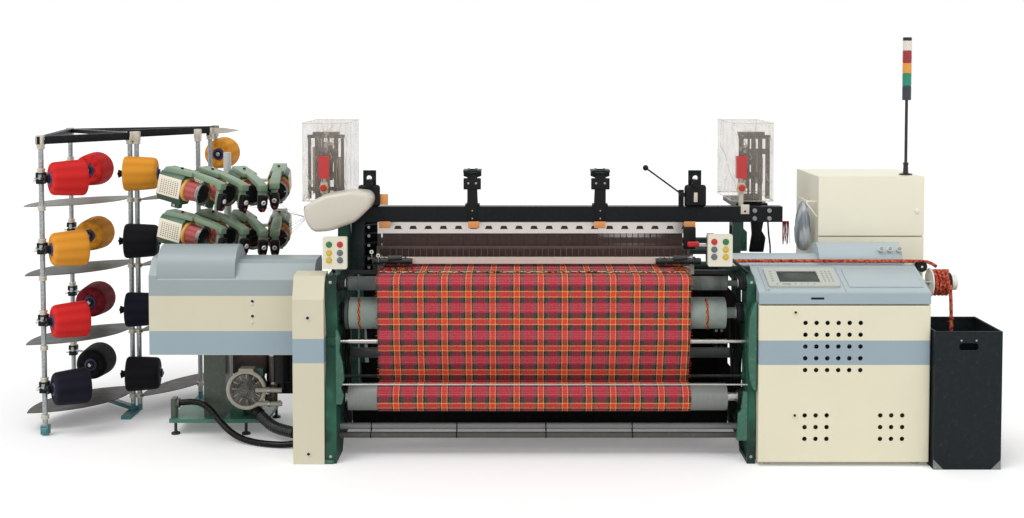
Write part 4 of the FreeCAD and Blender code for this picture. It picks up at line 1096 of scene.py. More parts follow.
def cloth_mesh(line, columns=96):
    """The cloth along its line, with width and length as UV, and soft ripples where its edges hang free."""
    rows, runs = len(line) - 1, lengths_of(line)
    sheet = bmesh.new()
    bmesh.ops.create_grid(sheet, x_segments=columns, y_segments=rows, size=0.5)
    chart = sheet.loops.layers.uv.new("UVMap")
    where = {}
    for vert in sheet.verts:
        across = round((vert.co.x + 0.5) * columns) / columns
        row = round((vert.co.y + 0.5) * rows)
        edge = min(across, 1 - across)
        ripple = 1.6 * math.exp(-edge * 60) * math.sin(runs[row] * 0.09 + across * 40)
        y, z = line[row]
        where[vert] = (across * CLOTH_WIDTH * MM, runs[row] * MM)
        free = 1.0 if -838 < y < -560 or (690 < z < 960) or (440 < z < 620) else 0.0
        vert.co = Vector((CLOTH_LEFT + across * CLOTH_WIDTH, y - ripple * free, z)) * MM
    for face in sheet.faces:
        for loop in face.loops:
            loop[chart].uv = where[loop.vert]
    bmesh.ops.recalc_face_normals(sheet, faces=sheet.faces)
    mesh = bpy.data.meshes.new("tartan_cloth")
    sheet.to_mesh(mesh)
    sheet.free()
    mesh.shade_smooth()
    mesh.materials.append(material("tartan_cloth"))
    return mesh


def cloth_fringe(line):
    """Loose weft ends at both edges, the tufted fell with its chain of yarns, and waste by the temples."""
    pick, fringe = random.Random(5), Shape()
    reach = bpy.context.scene.loom_sizes.fringe_length / MM
    for side, x in ((-1, CLOTH_LEFT), (1, CLOTH_RIGHT)):
        for _ in range(170):
            y, z = line[pick.randrange(2, len(line) - 4)]
            size = reach * pick.uniform(0.4, 1.0)
            middle = (x + side * size * 0.6, y - pick.uniform(0, 2), z + pick.uniform(-2, 2))
            end = (x + side * size, y - pick.uniform(0, 4), z - pick.uniform(0, 6))
            fringe.strand([(x - side, y, z), middle, end], 0.6, pick.randrange(3), sides=3)
    for _ in range(320):
        x, y = pick.uniform(CLOTH_LEFT + 5, CLOTH_RIGHT - 5), -742 - pick.uniform(0, 26)
        lean = pick.uniform(-12, 12)
        middle = (x + lean, y - 4, 1026.5 + pick.uniform(3, 7))
        fringe.strand([(x, y, 1026.5), middle, (x + lean * 2, y - 9, 1027.5)], 1.1, pick.choice((0, 1, 2, 3,
            3)), sides=3)
    for shade, height, lead in ((3, 2.0, 0), (4, 3.4, 1), (3, 3.0, 2), (1, 2.4, 3)):
        chain = [(CLOTH_LEFT + 10.0 * i, -752 + pick.uniform(-7, 7) + lead * 2,
            1025 + height + pick.uniform(0, 4)) for i in range(174)]
        fringe.strand(chain, 2.1, shade, sides=4)
    for low, high in ((-592, -400), (1090, 1160)):
        for _ in range(90):
            x, y = pick.uniform(low, high), pick.uniform(-700, -590)
            lean, drop = pick.uniform(-16, 16), pick.uniform(-12, 2)
            fringe.strand([(x, y, 1030), (x + lean, y - 10, 1036), (x + lean * 1.6, y - 26,
                1031 + drop * 0.3)], 1.3, pick.randrange(4), sides=3)
    return fringe.piece("cloth_fringe", "red_yarn orange_yarn dark_red_yarn black_yarn white_ceramic", None)


class LOOM_OT_cloth(bpy.types.Operator):
    """Tartan cloth from the fell over the breast roller down to its roll, with fringed edges"""
    bl_idname = "loom.cloth"
    bl_label = "Cloth"

    def execute(self, context):
        line = cut_up(belt_line(CLOTH_STOPS), 18)
        cloth = bpy.data.objects.new("tartan_cloth", cloth_mesh(line))
        thick = cloth.modifiers.new("thickness", "SOLIDIFY")
        thick.thickness, thick.offset = CLOTH_THICKNESS, 0.0
        settle(cloth, "root", ("cloth",))
        round(lengths_of(line)[-1] * MM, 3)
        cloth_fringe(line)
        return {"FINISHED"}


class LOOM_OT_cloth_roll(bpy.types.Operator):
    """Roll of finished cloth on its grey tube"""
    bl_idname = "loom.cloth_roll"
    bl_label = "Cloth roll"

    def execute(self, context):
        steps = context.scene.loom_sizes.round_steps
        roll = Shape()
        rings = [(0, 74.6), (0, 78.0), (1.5, 79.0)] + [(CLOTH_WIDTH * i / 24, 79.0) for i in range(1, 24)]
        rings += [(CLOTH_WIDTH - 1.5, 79.0), (CLOTH_WIDTH, 78.0), (CLOTH_WIDTH, 74.6)]
        tube = ((0, 0), (0, 73), (3, 74.5), (2093, 74.5), (2096, 73), (2096, 0))
        shaft = ((0, 0), (0, 24), (1, 25), (2340, 25), (2341, 24), (2341, 0))
        roll.turned(rings, (CLOTH_LEFT, *ROLL_AXIS), RIGHT, 0, steps, mapped=True)
        roll.turned(tube, (-741, *ROLL_AXIS), RIGHT, 1, steps)
        roll.turned(shaft, (SHAFT_LEFT, *ROLL_AXIS), RIGHT, 2, 24)
        for x in (-738, 1351):
            roll.turned(((0, 30), (0, 62), (1.5, 62), (1.5, 30)), (x, *ROLL_AXIS), RIGHT, 2)
        roll.piece("cloth_roll_wound", "tartan_roll roller_grey steel", "tartan_cloth", "cloth_roll",
            ["cloth_roll"])
        return {"FINISHED"}


class LOOM_OT_warp(bpy.types.Operator):
    """Warp beam with its wound yarn, and the warp ends from it over the backrest to the fell"""
    bl_idname = "loom.warp"
    bl_label = "Warp"

    def execute(self, context):
        steps = context.scene.loom_sizes.round_steps * 2
        beam = Shape()
        rings = [(0, 45), (0, 300)] + [(12 + i * 12, 300 + (0.8 if i % 2 else -0.8)) for i in range(144)]
        rings += [(1744, 300), (1744, 45)]
        flange = ((0, 50), (0, 398), (2, 400), (7, 400), (14, 392), (14, 372), (10, 362), (10, 200), (14,
            190), (14, 120), (30, 100), (30, 50))
        shaft = ((0, 0), (0, 43), (2, 45), (2339, 45), (2341, 43), (2341, 0))
        beam.turned(rings, (CLOTH_LEFT - 6, *BEAM_AXIS), RIGHT, 0, steps, mapped=True)
        for face, side in ((CLOTH_LEFT - 6, -1), (CLOTH_RIGHT + 6, 1)):
            beam.turned(flange, (face, *BEAM_AXIS), (side, 0, 0), 1, steps)
            for y, z in around(8, BEAM_AXIS, 285):
                beam.pin((face + side * 9, y, z), "x", side * 4, 12, 2, 6)
        beam.turned(shaft, (SHAFT_LEFT, *BEAM_AXIS), RIGHT, 2)
        beam.piece("warp_beam_wound", "warp_yarn beam_metal steel", "warp_yarn", "warp_beam", ["warp_beam"])
        pitch = context.scene.loom_sizes.yarn_pitch / MM
        line = [Vector((0, *point)) for point in belt_line(WARP_STOPS, 30.0)]
        ends, trail = Shape(), bmesh.new()
        bridge(trail, (circle(trail, place, 0.9, 3) for place in stations(line)))
        ends.join(trail, 0, [Matrix.Translation((CLOTH_LEFT + pitch * (i + 0.5), 0, 0))
            for i in range(int(CLOTH_WIDTH / pitch))])
        ends.piece("warp_ends", "warp_yarn", "warp_yarn", replaces=["warp_sheet"])
        return {"FINISHED"}


REED_LEAN = math.radians(-14)
ROCKING_AXIS = (-420, 500)
HEDDLE_PITCH, HEDDLES = 5, 358


class LOOM_OT_reed(bpy.types.Operator):
    """Fine dents in the reed and fine heddles in the four frames"""
    bl_idname = "loom.reed"
    bl_label = "Reed and heddles"

    def execute(self, context):
        axis = Matrix.Translation((0, *ROCKING_AXIS))
        lean = axis @ Matrix.Rotation(REED_LEAN, 4, "X") @ axis.inverted()
        pitch = context.scene.loom_sizes.dent_pitch / MM
        dents, dent = Shape(), bmesh.new()
        bmesh.ops.create_cube(dent, size=1.0)
        bmesh.ops.scale(dent, vec=(1.4, 8, 104), verts=dent.verts)
        dents.join(dent, 0, [lean @ Matrix.Translation((CLOTH_LEFT - 46 + pitch * (i + 0.5), -508, 1055))
            for i in range(int((CLOTH_WIDTH + 92) / pitch))])
        for z in (1008, 1103):
            dents.block((CLOTH_LEFT - 58, -514.4, z - 2), (CLOTH_RIGHT + 58, -501.6, z + 2), 1, place=lean)
        dents.piece("reed_dents", "heddle_wire reed_metal", "bright_steel", "sley")
        for number in range(4):
            wires, wire, eye = Shape(), bmesh.new(), bmesh.new()
            bmesh.ops.create_cube(wire, size=1.0)
            bmesh.ops.scale(wire, vec=(3.7, 0.6, 343), verts=wire.verts)
            bmesh.ops.create_cone(eye, cap_ends=True, segments=4, radius1=1.7, radius2=1.7, depth=9)
            for form, z in ((wire, 1021.5), (eye, 1030)):
                start = Vector((CLOTH_LEFT - 30 + number * 1.3, -316 + number * 15 + 4.5, z))
                wires.join(form, 0, [Matrix.Translation(start + Vector((HEDDLE_PITCH * i, 0, 0)))
                    for i in range(HEDDLES)])
            wires.piece(f"heddle_wires_{number + 1}", "heddle_wire", "bright_steel",
                f"heddle_frame_{number + 1}")
        return {"FINISHED"}


# ---- creel --------------------------------------------------------------------------------
LEVELS = (1530, 1115, 690, 290)
PLATE_LEVELS = (1351, 937, 523, 112)
PACKAGES = (((-2367, -346), (-0.83, -0.56, 0), (0, 1, 0, 3)), ((-2524, 365), FRONT, (0, 1, 2, 4)), ((-2217,
    -78), (0.99, 0.14, 0), (1, 4, 3, 4)))
POSTS = {"front": (-2605, -400), "rear_left": (-2785, 600), "middle": (-2235, 100), "second": (-2193, 100),
    "inner": (-1885, 400), "inner_rear": (-1865, 640), "rear": (-1915, 1000)}
TOP_BARS = (("front", "rear_left", 1775), ("front", "middle", 1775), ("middle", "inner_rear", 1789),
    ("inner_rear", "rear", 1775))


class LOOM_OT_packages(bpy.types.Operator):
    """Cross-wound yarn packages on the creel's spindles"""
    bl_idname = "loom.packages"
    bl_label = "Yarn packages"

    def execute(self, context):
        yarns = Shape()
        places = [((x, y, level), direction, shade) for (x, y), direction, shades in PACKAGES
            for level, shade in zip(LEVELS, shades)]
        for base, direction, shade in (*places, ((-1825, 900, 1598), FRONT, 1)):
            yarns.turned(((2, 30), (0, 88), (1, 97), (6, 103), (14, 106), (30, 106), (110, 102), (176, 97),
                (186, 94), (194, 87), (198, 77), (199.5, 64), (196, 29)), base, direction, shade, 56,
                mapped=True)
            yarns.turned(((196, 26), (196, 40), (203, 38), (205, 30), (205, 26)), base, direction, 7)
            yarns.turned(((-6, 22), (-6, 32), (4, 32), (4, 27), (196, 25), (200, 27), (213, 26), (214, 25),
                (214, 16), (190, 16)), base, direction, 5)
            yarns.turned(((206, 0), (206, 14), (216, 14), (222, 9), (222, 0)), base, direction, 6, 20)
        yarns.piece("wound_packages",
            "red_yarn orange_yarn dark_red_yarn navy_yarn black_yarn black_plastic steel core_blue",
            "wound_yarn", replaces=["yarn_packages"])
        return {"FINISHED"}


class LOOM_OT_creel_parts(bpy.types.Operator):
    """Broad top bars, clamps and package holders of the creel"""
    bl_idname = "loom.creel_parts"
    bl_label = "Creel parts"

    def execute(self, context):
        parts = Shape()
        black, pale, bright = range(3)
        for first, second, top in TOP_BARS:
            start, end = Vector((*POSTS[first], 0)), Vector((*POSTS[second], 0))
            run = (end - start).normalized()
            turn = Matrix.Translation(start) @ Matrix.Rotation(math.atan2(run.y, run.x), 4, "Z")
            parts.block((-24, -18, top - 46), ((end - start).length + 24, 18, top + 0.6), black, 2.0,
                place=turn)
        collar = ((-13, 14), (-13, 22), (-11, 24), (-4, 24), (-3, 21), (3, 21), (4, 24), (11, 24), (13, 22),
            (13, 14))
        parts.turned(collar, (0, 0, 0), UP, pale, 24, [Matrix.Translation((x, y, z))
            for x, y in POSTS.values() for z in (*PLATE_LEVELS, 1715, 1768)])
        for x, y in POSTS.values():
            parts.block((x - 21, y - 24, 1722), (x + 21, y + 20, 1781), pale, 4.0)
        for level in LEVELS:
            for x, y in (POSTS["front"], POSTS["rear_left"], POSTS["middle"]):
                parts.blocks(black, 4.0, (x - 27, y - 22, level + 2, x + 27, y + 22, level + 34), (x - 25,
                    y - 24, level - 34, x + 25, y + 20, level - 4))
                parts.turned(collar, (x, y, level + 44), UP, pale, 24)
                parts.pin((x - 46, y - 8, level - 14), "x", 80, 6, pale, 12)
            for post, start, end in (("front", (-2561, -477), (-2500, -436)), ("middle", (-2251, -83),
                    (-2190, -74))):
                middle = ((start[0] + end[0]) / 2, (start[1] + end[1]) / 2, level)
                parts.rod((*POSTS[post], level), (*start, level), 9, black)
                parts.rod((*start, level), (*end, level), 8, bright)
                parts.rod((*start, level), middle, 26, black, 13, 20)
        parts.plate(((-1862, 1738), (-1765, 1742), (-1660, 1762), (-1765, 1778), (-1862, 1780)), "y", 636,
            642, pale)
        parts.piece("creel_fittings", "black_coat zinc steel", "bright_steel")
        return {"FINISHED"}


# ---- weft feeders -------------------------------------------------------------------------
FEEDER_PLACES = ((-1763, -330, 20), (-1623, -190, 35), (-1473, -50, 55), (-1307, 100, 85))
FEEDER_LEVELS = ((1460, 1445, 1435, 1439), (1200, 1185, 1165, 1150))
DRUM_HEIGHT = -4


def feeder_place(x, y, z, yaw):
    """Where one feeder sits: its nose turned to the right from facing the weaver, and tilted down."""
    turn, tilt = math.radians(yaw), math.radians(12)
    axis = Vector((math.cos(turn) * math.cos(tilt), -math.sin(turn) * math.cos(tilt), -math.sin(tilt)))
    side = Vector(UP).cross(axis).normalized()
    turned = Matrix((axis, side, axis.cross(side))).transposed().to_4x4()
    return Matrix.Translation((x, y, z)) @ turned


class LOOM_OT_feeders(bpy.types.Operator):
    """Eight weft feeders in two rows, each with its body, arm, yarn drum and exit eye"""
    bl_idname = "loom.feeders"
    bl_label = "Weft feeders"

    def execute(self, context):
        places = [feeder_place(x, y, z, yaw) for row in FEEDER_LEVELS
            for (x, y, yaw), z in zip(FEEDER_PLACES, row)]
        one = Shape()
        green, cream, amber, red, bright, black, white, dark = range(8)
        one.plate(((-64, -62), (-64, 54), (-38, 80), (38, 80), (64, 54), (64, -62), (38, -98), (-38, -98)),
            "x", -170, -6, dark, 3.0)
        one.blocks(cream, 1.5, (-166, -67, -60, -8, -61, 56), (-166, 61, -60, -8, 67, 56), mapped=True)
        one.plate(((-172, 66), (-146, 106), (24, 110), (40, 108), (40, 82), (-150, 74)), "y", -44, 44,
            green, 5.0)
        one.plate(((20, 88), (20, 110), (150, 103), (238, 90), (240, 50), (210, 50), (196, 68), (60, 82)),
            "y", -29, 29, green, 5.0)
        ribs = [(along, ((0, size - 7), (0, size), (2, size + 1), (4, size), (4, size - 7)), bright, 40)
            for along, size in ((88, 59), (96, 64), (104, 68), (112, 71))]
        for along, profile, shade, sides in (
                (-6, ((0, 60), (0, 68), (6, 71), (16, 71), (20, 66), (20, 58)), amber, 40),
                (14, ((0, 50), (0, 60), (10, 59.5), (92, 54), (92, 40)), red, 40), *ribs,
                (104, ((0, 0), (0, 58), (8, 52), (12, 30), (13, 0)), black, 32)):
            one.turned(profile, (along, 0, DRUM_HEIGHT), RIGHT, shade, sides, mapped=shade == red)
        one.block((107, -64, -9), (113, 64, 1), bright, 1.0)
        one.block((106, -16, 50), (117, 16, 84), dark, 2.0)
        one.plate(((206, 46), (228, 46), (228, -58), (214, -58), (206, -20)), "y", -20, 20, green, 3.0)
        one.plate(((-27, 28), (27, 28), (30, -16), (25, -52), (13, -74), (-13, -74), (-25, -52), (-30,
            -16)), "x", 226, 258, black, 5.0)
        one.turned(((0, 6), (0, 14), (4, 15), (8, 13), (10, 8), (8, 6)), (257, 0, -14), RIGHT, white, 24)
        one.turned(((0, 3), (0, 7), (3, 7), (5, 3)), (257, 0, -56), RIGHT, red, 16)
        one.block((-84, -20, -128), (-30, 20, -94), dark, 3.0)
        one.pin((-57, -30, -112), "y", 60, 9, bright, 12)
        one.block((-176, -22, -30), (-168, 22, 20), black, 2.0)
        for x in (-150, -90, -30):
            one.pin((x, -66.5, 40), "y", 133, 3.4, bright, 8)
        one.pin((-60, 0, 104), "z", 12, 9, black)
        one.pin((-20, 18, 104), "z", 9, 5, amber, 12)
        whole = bpy.data.meshes.new("feeder")
        one.mesh.to_mesh(whole)
        one.mesh.free()
        row = Shape()
        row.repeat(whole, places)
        row.piece("feeder_bodies", "feeder_green feeder_cream amber_ring feeder_drum steel black_plastic "
            "white_ceramic feeder_dark_green", "feeder_green", replaces=["weft_feeders"])
        yarns = Shape()
        for i, place in enumerate(places):
            start = place @ Vector((268, 0, -10))
            end = Vector((-1046, -500 + i * 6, 1318 - i * 4))
            yarns.strand([start, start.lerp(end, 0.5) - Vector((0, 0, 6)), end], 1.0, i % 3, sides=3)
        yarns.piece("weft_yarns", "dark_red_yarn black_yarn dark_red_yarn", "wound_yarn")
        return {"FINISHED"}


# ---- vacuum unit --------------------------------------------------------------------------
HOSE_BEND = ((-1322, -430, 130), (-1271, -465, 92), (-1220, -500, 74), (-1160, -530, 66), (-1100, -560, 62))
HOSE_WALL, HOSE_RADIUS, RIB_HEIGHT, RIB_STEPS = 0.003, 31.5, 2.5, 6
CHAMBER = (-1408, -420, 277)
CHAMBER_RINGS = (
    (0, 48, ((0, 0), (0, 94), (8, 104), (86, 106), (90, 100), (60, 90), (40, 40), (40, 0))),
    (1, 48, ((86, 96), (86, 116), (94, 118), (112, 118), (116, 110), (112, 98))),
    (2, 48, ((104, 97), (112, 90), (117, 60), (119, 0), (116, 0), (114, 58), (109, 87), (104, 93))),
    (3, 32, ((50, 0), (50, 62), (70, 60), (72, 24), (84, 22), (86, 0))))


class LOOM_OT_vacuum(bpy.types.Operator):
    """Round suction chamber with its clear lid, motor, pipes and ribbed hose"""
    bl_idname = "loom.vacuum"
    bl_label = "Vacuum unit"

    def execute(self, context):
        x, y, z = CHAMBER
        unit = Shape()
        shell, pale, _, black, bright, pipe, green = range(7)
        for shade, sides, profile in CHAMBER_RINGS:
            unit.turned(profile, (x, y + 110, z), FRONT, shade, sides)
        for i in range(12):
            spin = Matrix.Translation(CHAMBER) @ Matrix.Rotation(math.tau * i / 12, 4, "Y")
            unit.block((60, 20, -2), (92, 56, 2), bright, place=spin)
        for across, height in around(4, (x, z), 112, 0.5):
            unit.pin((across, y + 2, height), "y", -10, 5, bright, 8)
        unit.pin((x, y + 110, z), "y", 80, 40, shell, 32)
        unit.pin((x + 150, y + 60, 190), "z", 370, 24, pipe, 24)
        unit.pin((x + 100, y + 60, z - 60), "x", 50, 20, pipe, 24)
        for height in (300, 470):
            unit.turned(((0, 24), (0, 30), (14, 30), (14, 24)), (x + 150, y + 60, height), UP, bright, 24)
        unit.block((x - 60, y + 120, 96), (x + 60, y + 180, z), green, 3.0)
        unit.plate(((x - 120, 98), (x - 30, 98), (x - 60, 180), (x - 70, 300), (x - 104, 300)), "y", y + 96,
            y + 116, green, 3.0)
        unit.block((-1330, -210, 200), (-1050, -190, 558), black, 4.0)
        unit.block((-1536, -200, 320), (-1330, -190, 558), shell, 3.0)
        unit.block((x - 44, y - 4, z + 104), (x + 44, y + 80, z + 126), pale, 3.0)
        unit.block((x + 40, y + 30, z + 60), (x + 96, y + 90, z + 122), green, 6.0)
        for along in (-1300, -1236, -1110, -1070):
            unit.pin((along, -222, 230), "z", 326, 13, pipe)
            unit.rod((along, -236, 400), (along + 40, -236, 440), 9, bright, sides=12)
        unit.turned(((0, 0), (0, 44), (4, 48), (226, 48), (230, 44), (230, 0)), (-1190, -440, 330), UP,
            black)
        for i in range(16):
            spin = Matrix.Translation((-1190, -440, 0)) @ Matrix.Rotation(math.tau * i / 16, 4, "Z")
            unit.block((44, -1.2, 350), (47.8, 1.2, 540), black, place=spin)
        unit.rod((-1352, -410, 147), (-1324, -429, 131), 36, black, sides=32)
        unit.rod((-1352, -410, 147), (-1385, -340, 195), 28, black, sides=32)
        # The two clear pipes are made opaque pale grey: painted highlight in place of their clear plastic.
        for height in (280, 198):
            unit.pin((x + 60, y - 14, height), "x", 154, 14, pale, 24)
            unit.turned(((0, 13), (0, 18), (10, 18), (10, 13)), (x + 134, y - 14, height), RIGHT, bright,
                24)
        unit.piece("suction_chamber", "green_grey ring_grey smoked_clear black_plastic steel pipe_brown "
            "bright_casting", "clear_plastic", replaces=["vacuum_unit"])
        hose, part = Shape(), bmesh.new()
        bridge(part, (circle(part, place, HOSE_RADIUS + RIB_HEIGHT * math.cos(math.tau * i / RIB_STEPS), 32)
            for i, place in enumerate(stations(line_of(HOSE_BEND, 97)))))
        hose.join(part)
        ribbed = hose.piece("ribbed_hose", "ribbed_grey", "black_rubber", replaces=["vacuum_unit"],
            sharp=70.0)
        wall = ribbed.modifiers.new("wall", "SOLIDIFY")
        wall.thickness, wall.offset = HOSE_WALL, -1.0
        return {"FINISHED"}


# ---- waste drum and bag -------------------------------------------------------------------
DRUM = (2581, -720, 967)
WINDING_RADIUS, WINDING_PITCH, WINDING_TURNS, WINDING_STEPS = 66.4, 21.0, 4, 20
BAG_CENTRE = (1906, -250)
BAG_SECTIONS = ((1379, 10, 58), (1360, 17, 66), (1330, 26, 76), (1290, 35, 84), (1250, 39, 88), (1205, 41,
    92), (1160, 41, 94), (1130, 37, 90), (1105, 29, 76), (1090, 22, 62), (1085, 14, 50))


class LOOM_OT_waste_drum(bpy.types.Operator):
    """Waste drum with its white flange and hub, wound with four turns of the rope"""
    bl_idname = "loom.waste_drum"
    bl_label = "Waste drum"

    def execute(self, context):
        x, y, z = DRUM
        drum = Shape()
        drum.turned(((-54, 12), (-54, 55), (-53, 56), (53, 56), (54, 55), (54, 12)), DRUM, RIGHT, 0, 48)
        drum.turned(((-62, 12), (-62, 79), (-61, 80), (-55, 80), (-54, 79), (-54, 12)), DRUM, RIGHT, 1, 48)
        drum.turned(((54, 12), (54, 43), (55, 44), (84, 44), (90, 38), (90, 20), (86, 16), (86, 12)), DRUM,
            RIGHT, 1, 40)
        drum.rod((2446, y, z), (x + 92, y, z), 12, 2, sides=24)
        for across, height in around(6, (y, z), 31):
            drum.pin((x + 84, across, height), "x", 4.5, 3.5, 2, 6)
        drum.piece("waste_drum_body", "black_plastic white_ceramic steel", "black_plastic", "waste_drum",
            ["waste_drum"])
        points = []
        for i in range(WINDING_TURNS * WINDING_STEPS + 1):
            turn = math.pi / 2 + math.tau * i / WINDING_STEPS
            points.append((x - 42.5 + WINDING_PITCH * i / WINDING_STEPS,
                y + WINDING_RADIUS * math.cos(turn), z + WINDING_RADIUS * math.sin(turn)))
        winding = cord("waste_winding", points, ROPE_RADIUS, "waste_yarn", "waste_drum", "waste_drum")
        ends = tufts("waste_winding_tufts", line_of(points, 400), 420, "winding", "waste_drum")
        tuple(metres(points[:1])[0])
        return {"FINISHED"}


class LOOM_OT_filter_bag(bpy.types.Operator):
    """Grey filter bag that hangs slack between its brackets"""
    bl_idname = "loom.filter_bag"
    bl_label = "Filter bag"

    def execute(self, context):
        bag, part = Shape(), bmesh.new()

        def folded_rings():
            for height, wide, deep in BAG_SECTIONS:
                ring = circle(part, Matrix.Translation((0, 0, height)), 1.0, 48)
                for vert in ring:
                    turn = math.atan2(vert.co.y, vert.co.x)
                    fold = 1 + 0.07 * math.sin(turn * 9 + height * 0.03)
                    fold += 0.04 * math.sin(turn * 17 - height * 0.05)
                    square = 1 / max(abs(math.cos(turn)) ** 3 + abs(math.sin(turn)) ** 3, 0.01) ** (1 / 3)
                    vert.co.x = BAG_CENTRE[0] + wide * 0.93 * square * fold * math.cos(turn)
                    vert.co.y = BAG_CENTRE[1] + deep * 0.95 * square * fold * math.sin(turn)
                yield ring

        bridge(part, folded_rings())
        bmesh.ops.holes_fill(part, edges=part.edges[:], sides=0)
        bag.join(part)
        made = bag.piece("filter_cloth", "bag_cloth", "bag_cloth", replaces=["filter_bag"], sharp=80.0)
        return {"FINISHED"}


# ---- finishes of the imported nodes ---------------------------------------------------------
LAMP_SIDES = ("left_upper", "left_lower", "right_upper", "right_lower")
NODE_FINISHES = {
    "dark_casting": ("left_side_frame", "right_side_frame"),
    "pipe_wrap": ("cross_members",),
    "beam_coat": ("top_beam",),
    "black_coat": ("hand_lever", "guide_roller", "selvedge_units"),
    "banded_cabinet": ("left_housing_panel", "left_end_cover", "control_cabinet", "cabinet_door"),
    "cream_coat": ("electrical_cabinet", "electrical_door"),
    "console_coat": ("console_cover",),
    "housing_coat": ("left_housing_cover",),
    "bezel_coat": ("display_panel",),
    "tower_lamps": ("signal_tower",),
    "bin_board": ("waste_bin",),
    "stand_coat": ("feeder_stand",),
    "creel_coat": ("creel_frame",),
    "plate_metal": ("creel_plates",),
    "clear_plastic": ("selvedge_hoods",),
    "posts_coat": ("control_posts",),
    "temple_metal": ("temples",),
    "sley_metal": ("sley",),
    "reed_metal": ("reed",),
    "heddle_alloy": [f"heddle_frame_{number}" for number in range(1, 5)],
    "emery_sleeve": ("breast_roller",),
    "takeup_sleeve": ("takeup_roller",),
    "steel": ("press_roller", "backrest_roller"),
    "red_plastic": ("estop_left", "estop_right", "button_red_left", "button_red_right"),
    "green_plastic": ("button_green_left", "button_green_right"),
    "yellow_plastic": [f"button_yellow_{side}" for side in LAMP_SIDES],
    "slate_plastic": [f"button_black_{side}" for side in LAMP_SIDES],
}


class LOOM_OT_finishes(bpy.types.Operator):
    """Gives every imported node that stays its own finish"""
    bl_idname = "loom.finishes"
    bl_label = "Finishes"

    def execute(self, context):
        for name, nodes in NODE_FINISHES.items():
            for node in nodes:
                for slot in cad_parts[node].material_slots:
                    slot.material = material(name)
        return {"FINISHED"}


# ---- small parts --------------------------------------------------------------------------
def bolt(shape, place, direction, size):
    """Hexagon bolt head on its washer."""
    shape.turned(((0, 0), (0, size * 1.25), (1.2, size * 1.25), (1.2, 0)), place, direction, 0, 20)
    shape.turned(((1.2, 0), (1.2, size), (size * 0.8, size), (size * 0.95, size * 0.8), (size * 0.95, 0)),
        place, direction, 0, 6)


class LOOM_OT_console_parts(bpy.types.Operator):
    """Screen and keys of the display, lamps of the hump, button rings, cabinet keyholes and door latches"""
    bl_idname = "loom.console_parts"
    bl_label = "Console parts"

    def execute(self, context):
        slope = Matrix.Translation((1572, -948, 974.2)) @ Matrix.Rotation(math.atan2(92, 265), 4, "X")
        screen = Shape()
        glass, rim, key, cover = range(4)
        screen.block((67, 43, 8.2), (287, 167, 10.2), glass, 1.0, place=slope)
        screen.blocks(rim, 0.8, *((*low, 13.4, *high, 15.2) for low, high in (
            ((60, 36), (66, 174)), ((288, 36), (294, 174)), ((60, 36), (294, 42)), ((60, 168), (294, 174)))),
            place=slope)
        keys = [(312 + i * 22, 48 + j * 22, 10, 9) for i in range(3) for j in range(6)]
        keys += [(40 + i * 34, 16, 12, 8) for i in range(7)] + [(24, 52 + j * 26, 12, 9) for j in range(5)]
        screen.blocks(key, 1.0, *((x, y, 14.2, x + wide, y + deep, 15.6) for x, y, wide, deep in keys),
            place=slope)
        screen.blocks(key, 0.0, (410, -42, 0.2, 413, 236, 1.2), (-24, -42, 0.2, -21, 236, 1.2), place=slope)
        screen.block((440, 6, 0.2), (846, 216, 4.5), cover, 4.0, 3, place=slope)
        screen.rod(slope @ Vector((-8, -20, 0)), slope @ Vector((-8, -20, 1.5)), 7, key)
        screen.piece("display_screen", "screen_glass bezel_coat grey_key console_coat", "black_plastic")
        small = Shape()
        key, white, dark, green, red, yellow, slate = range(2, 9)
        lean = Vector((0, -28, 22)).normalized()
        for x, shade in ((2262, 0), (2312, 1), (2364, 2)):
            at = Vector((x, -668, 1150))
            small.turned(((0, 12), (0, 15), (5, 15), (6, 12)), at - lean * 4, lean, white, 24)
            small.turned(((0, 0), (0, 11.5), (6, 11), (9, 7), (10, 0)), at, lean, shade, 24)
        small.block((1790, -1001.6, 920), (1861, -999.6, 931), dark, 0.5)
        for at in ((-950, -964, 60), (-950, -964, 812), (-1296, -750, 865), (-1296, -750, 781)):
            small.pin(at, "y", -3, 9, dark, 20)
            small.turned(((0, 9), (0, 12), (2, 12), (3, 9)), at, FRONT, white, 20)
        collar = ((0, 12.8), (0, 17.5), (3.5, 16.5), (4.5, 12.8))
        for left, right, low, high, columns, rows, shades in (
                (-874, -741, 1072, 1248, (0.27, 0.72), (0.77, 0.51, 0.28),
                 (green, red, yellow, slate, yellow, slate)),
                (1242, 1376, 1087, 1263, (0.25, 0.72), (0.77, 0.53, 0.30),
                 (red, green, slate, yellow, slate, yellow))):
            for i, shade in enumerate(shades):
                small.turned(collar, (left + (right - left) * columns[i % 2], -915,
                    low + (high - low) * rows[i // 2]), FRONT, shade, 28)
        small.piece("hump_lamps",
            "grey_key grey_key grey_key white_ceramic black_plastic green_plastic red_plastic "
            "yellow_plastic slate_plastic", "lamp_plastic")
        latches = Shape()
        for z in (851, 286):
            latches.pin((1705, -999, z), "y", -13, 6.5, sides=20)
        latches.piece("door_latches", "black_plastic", "black_plastic", "cabinet_door")
        return {"FINISHED"}


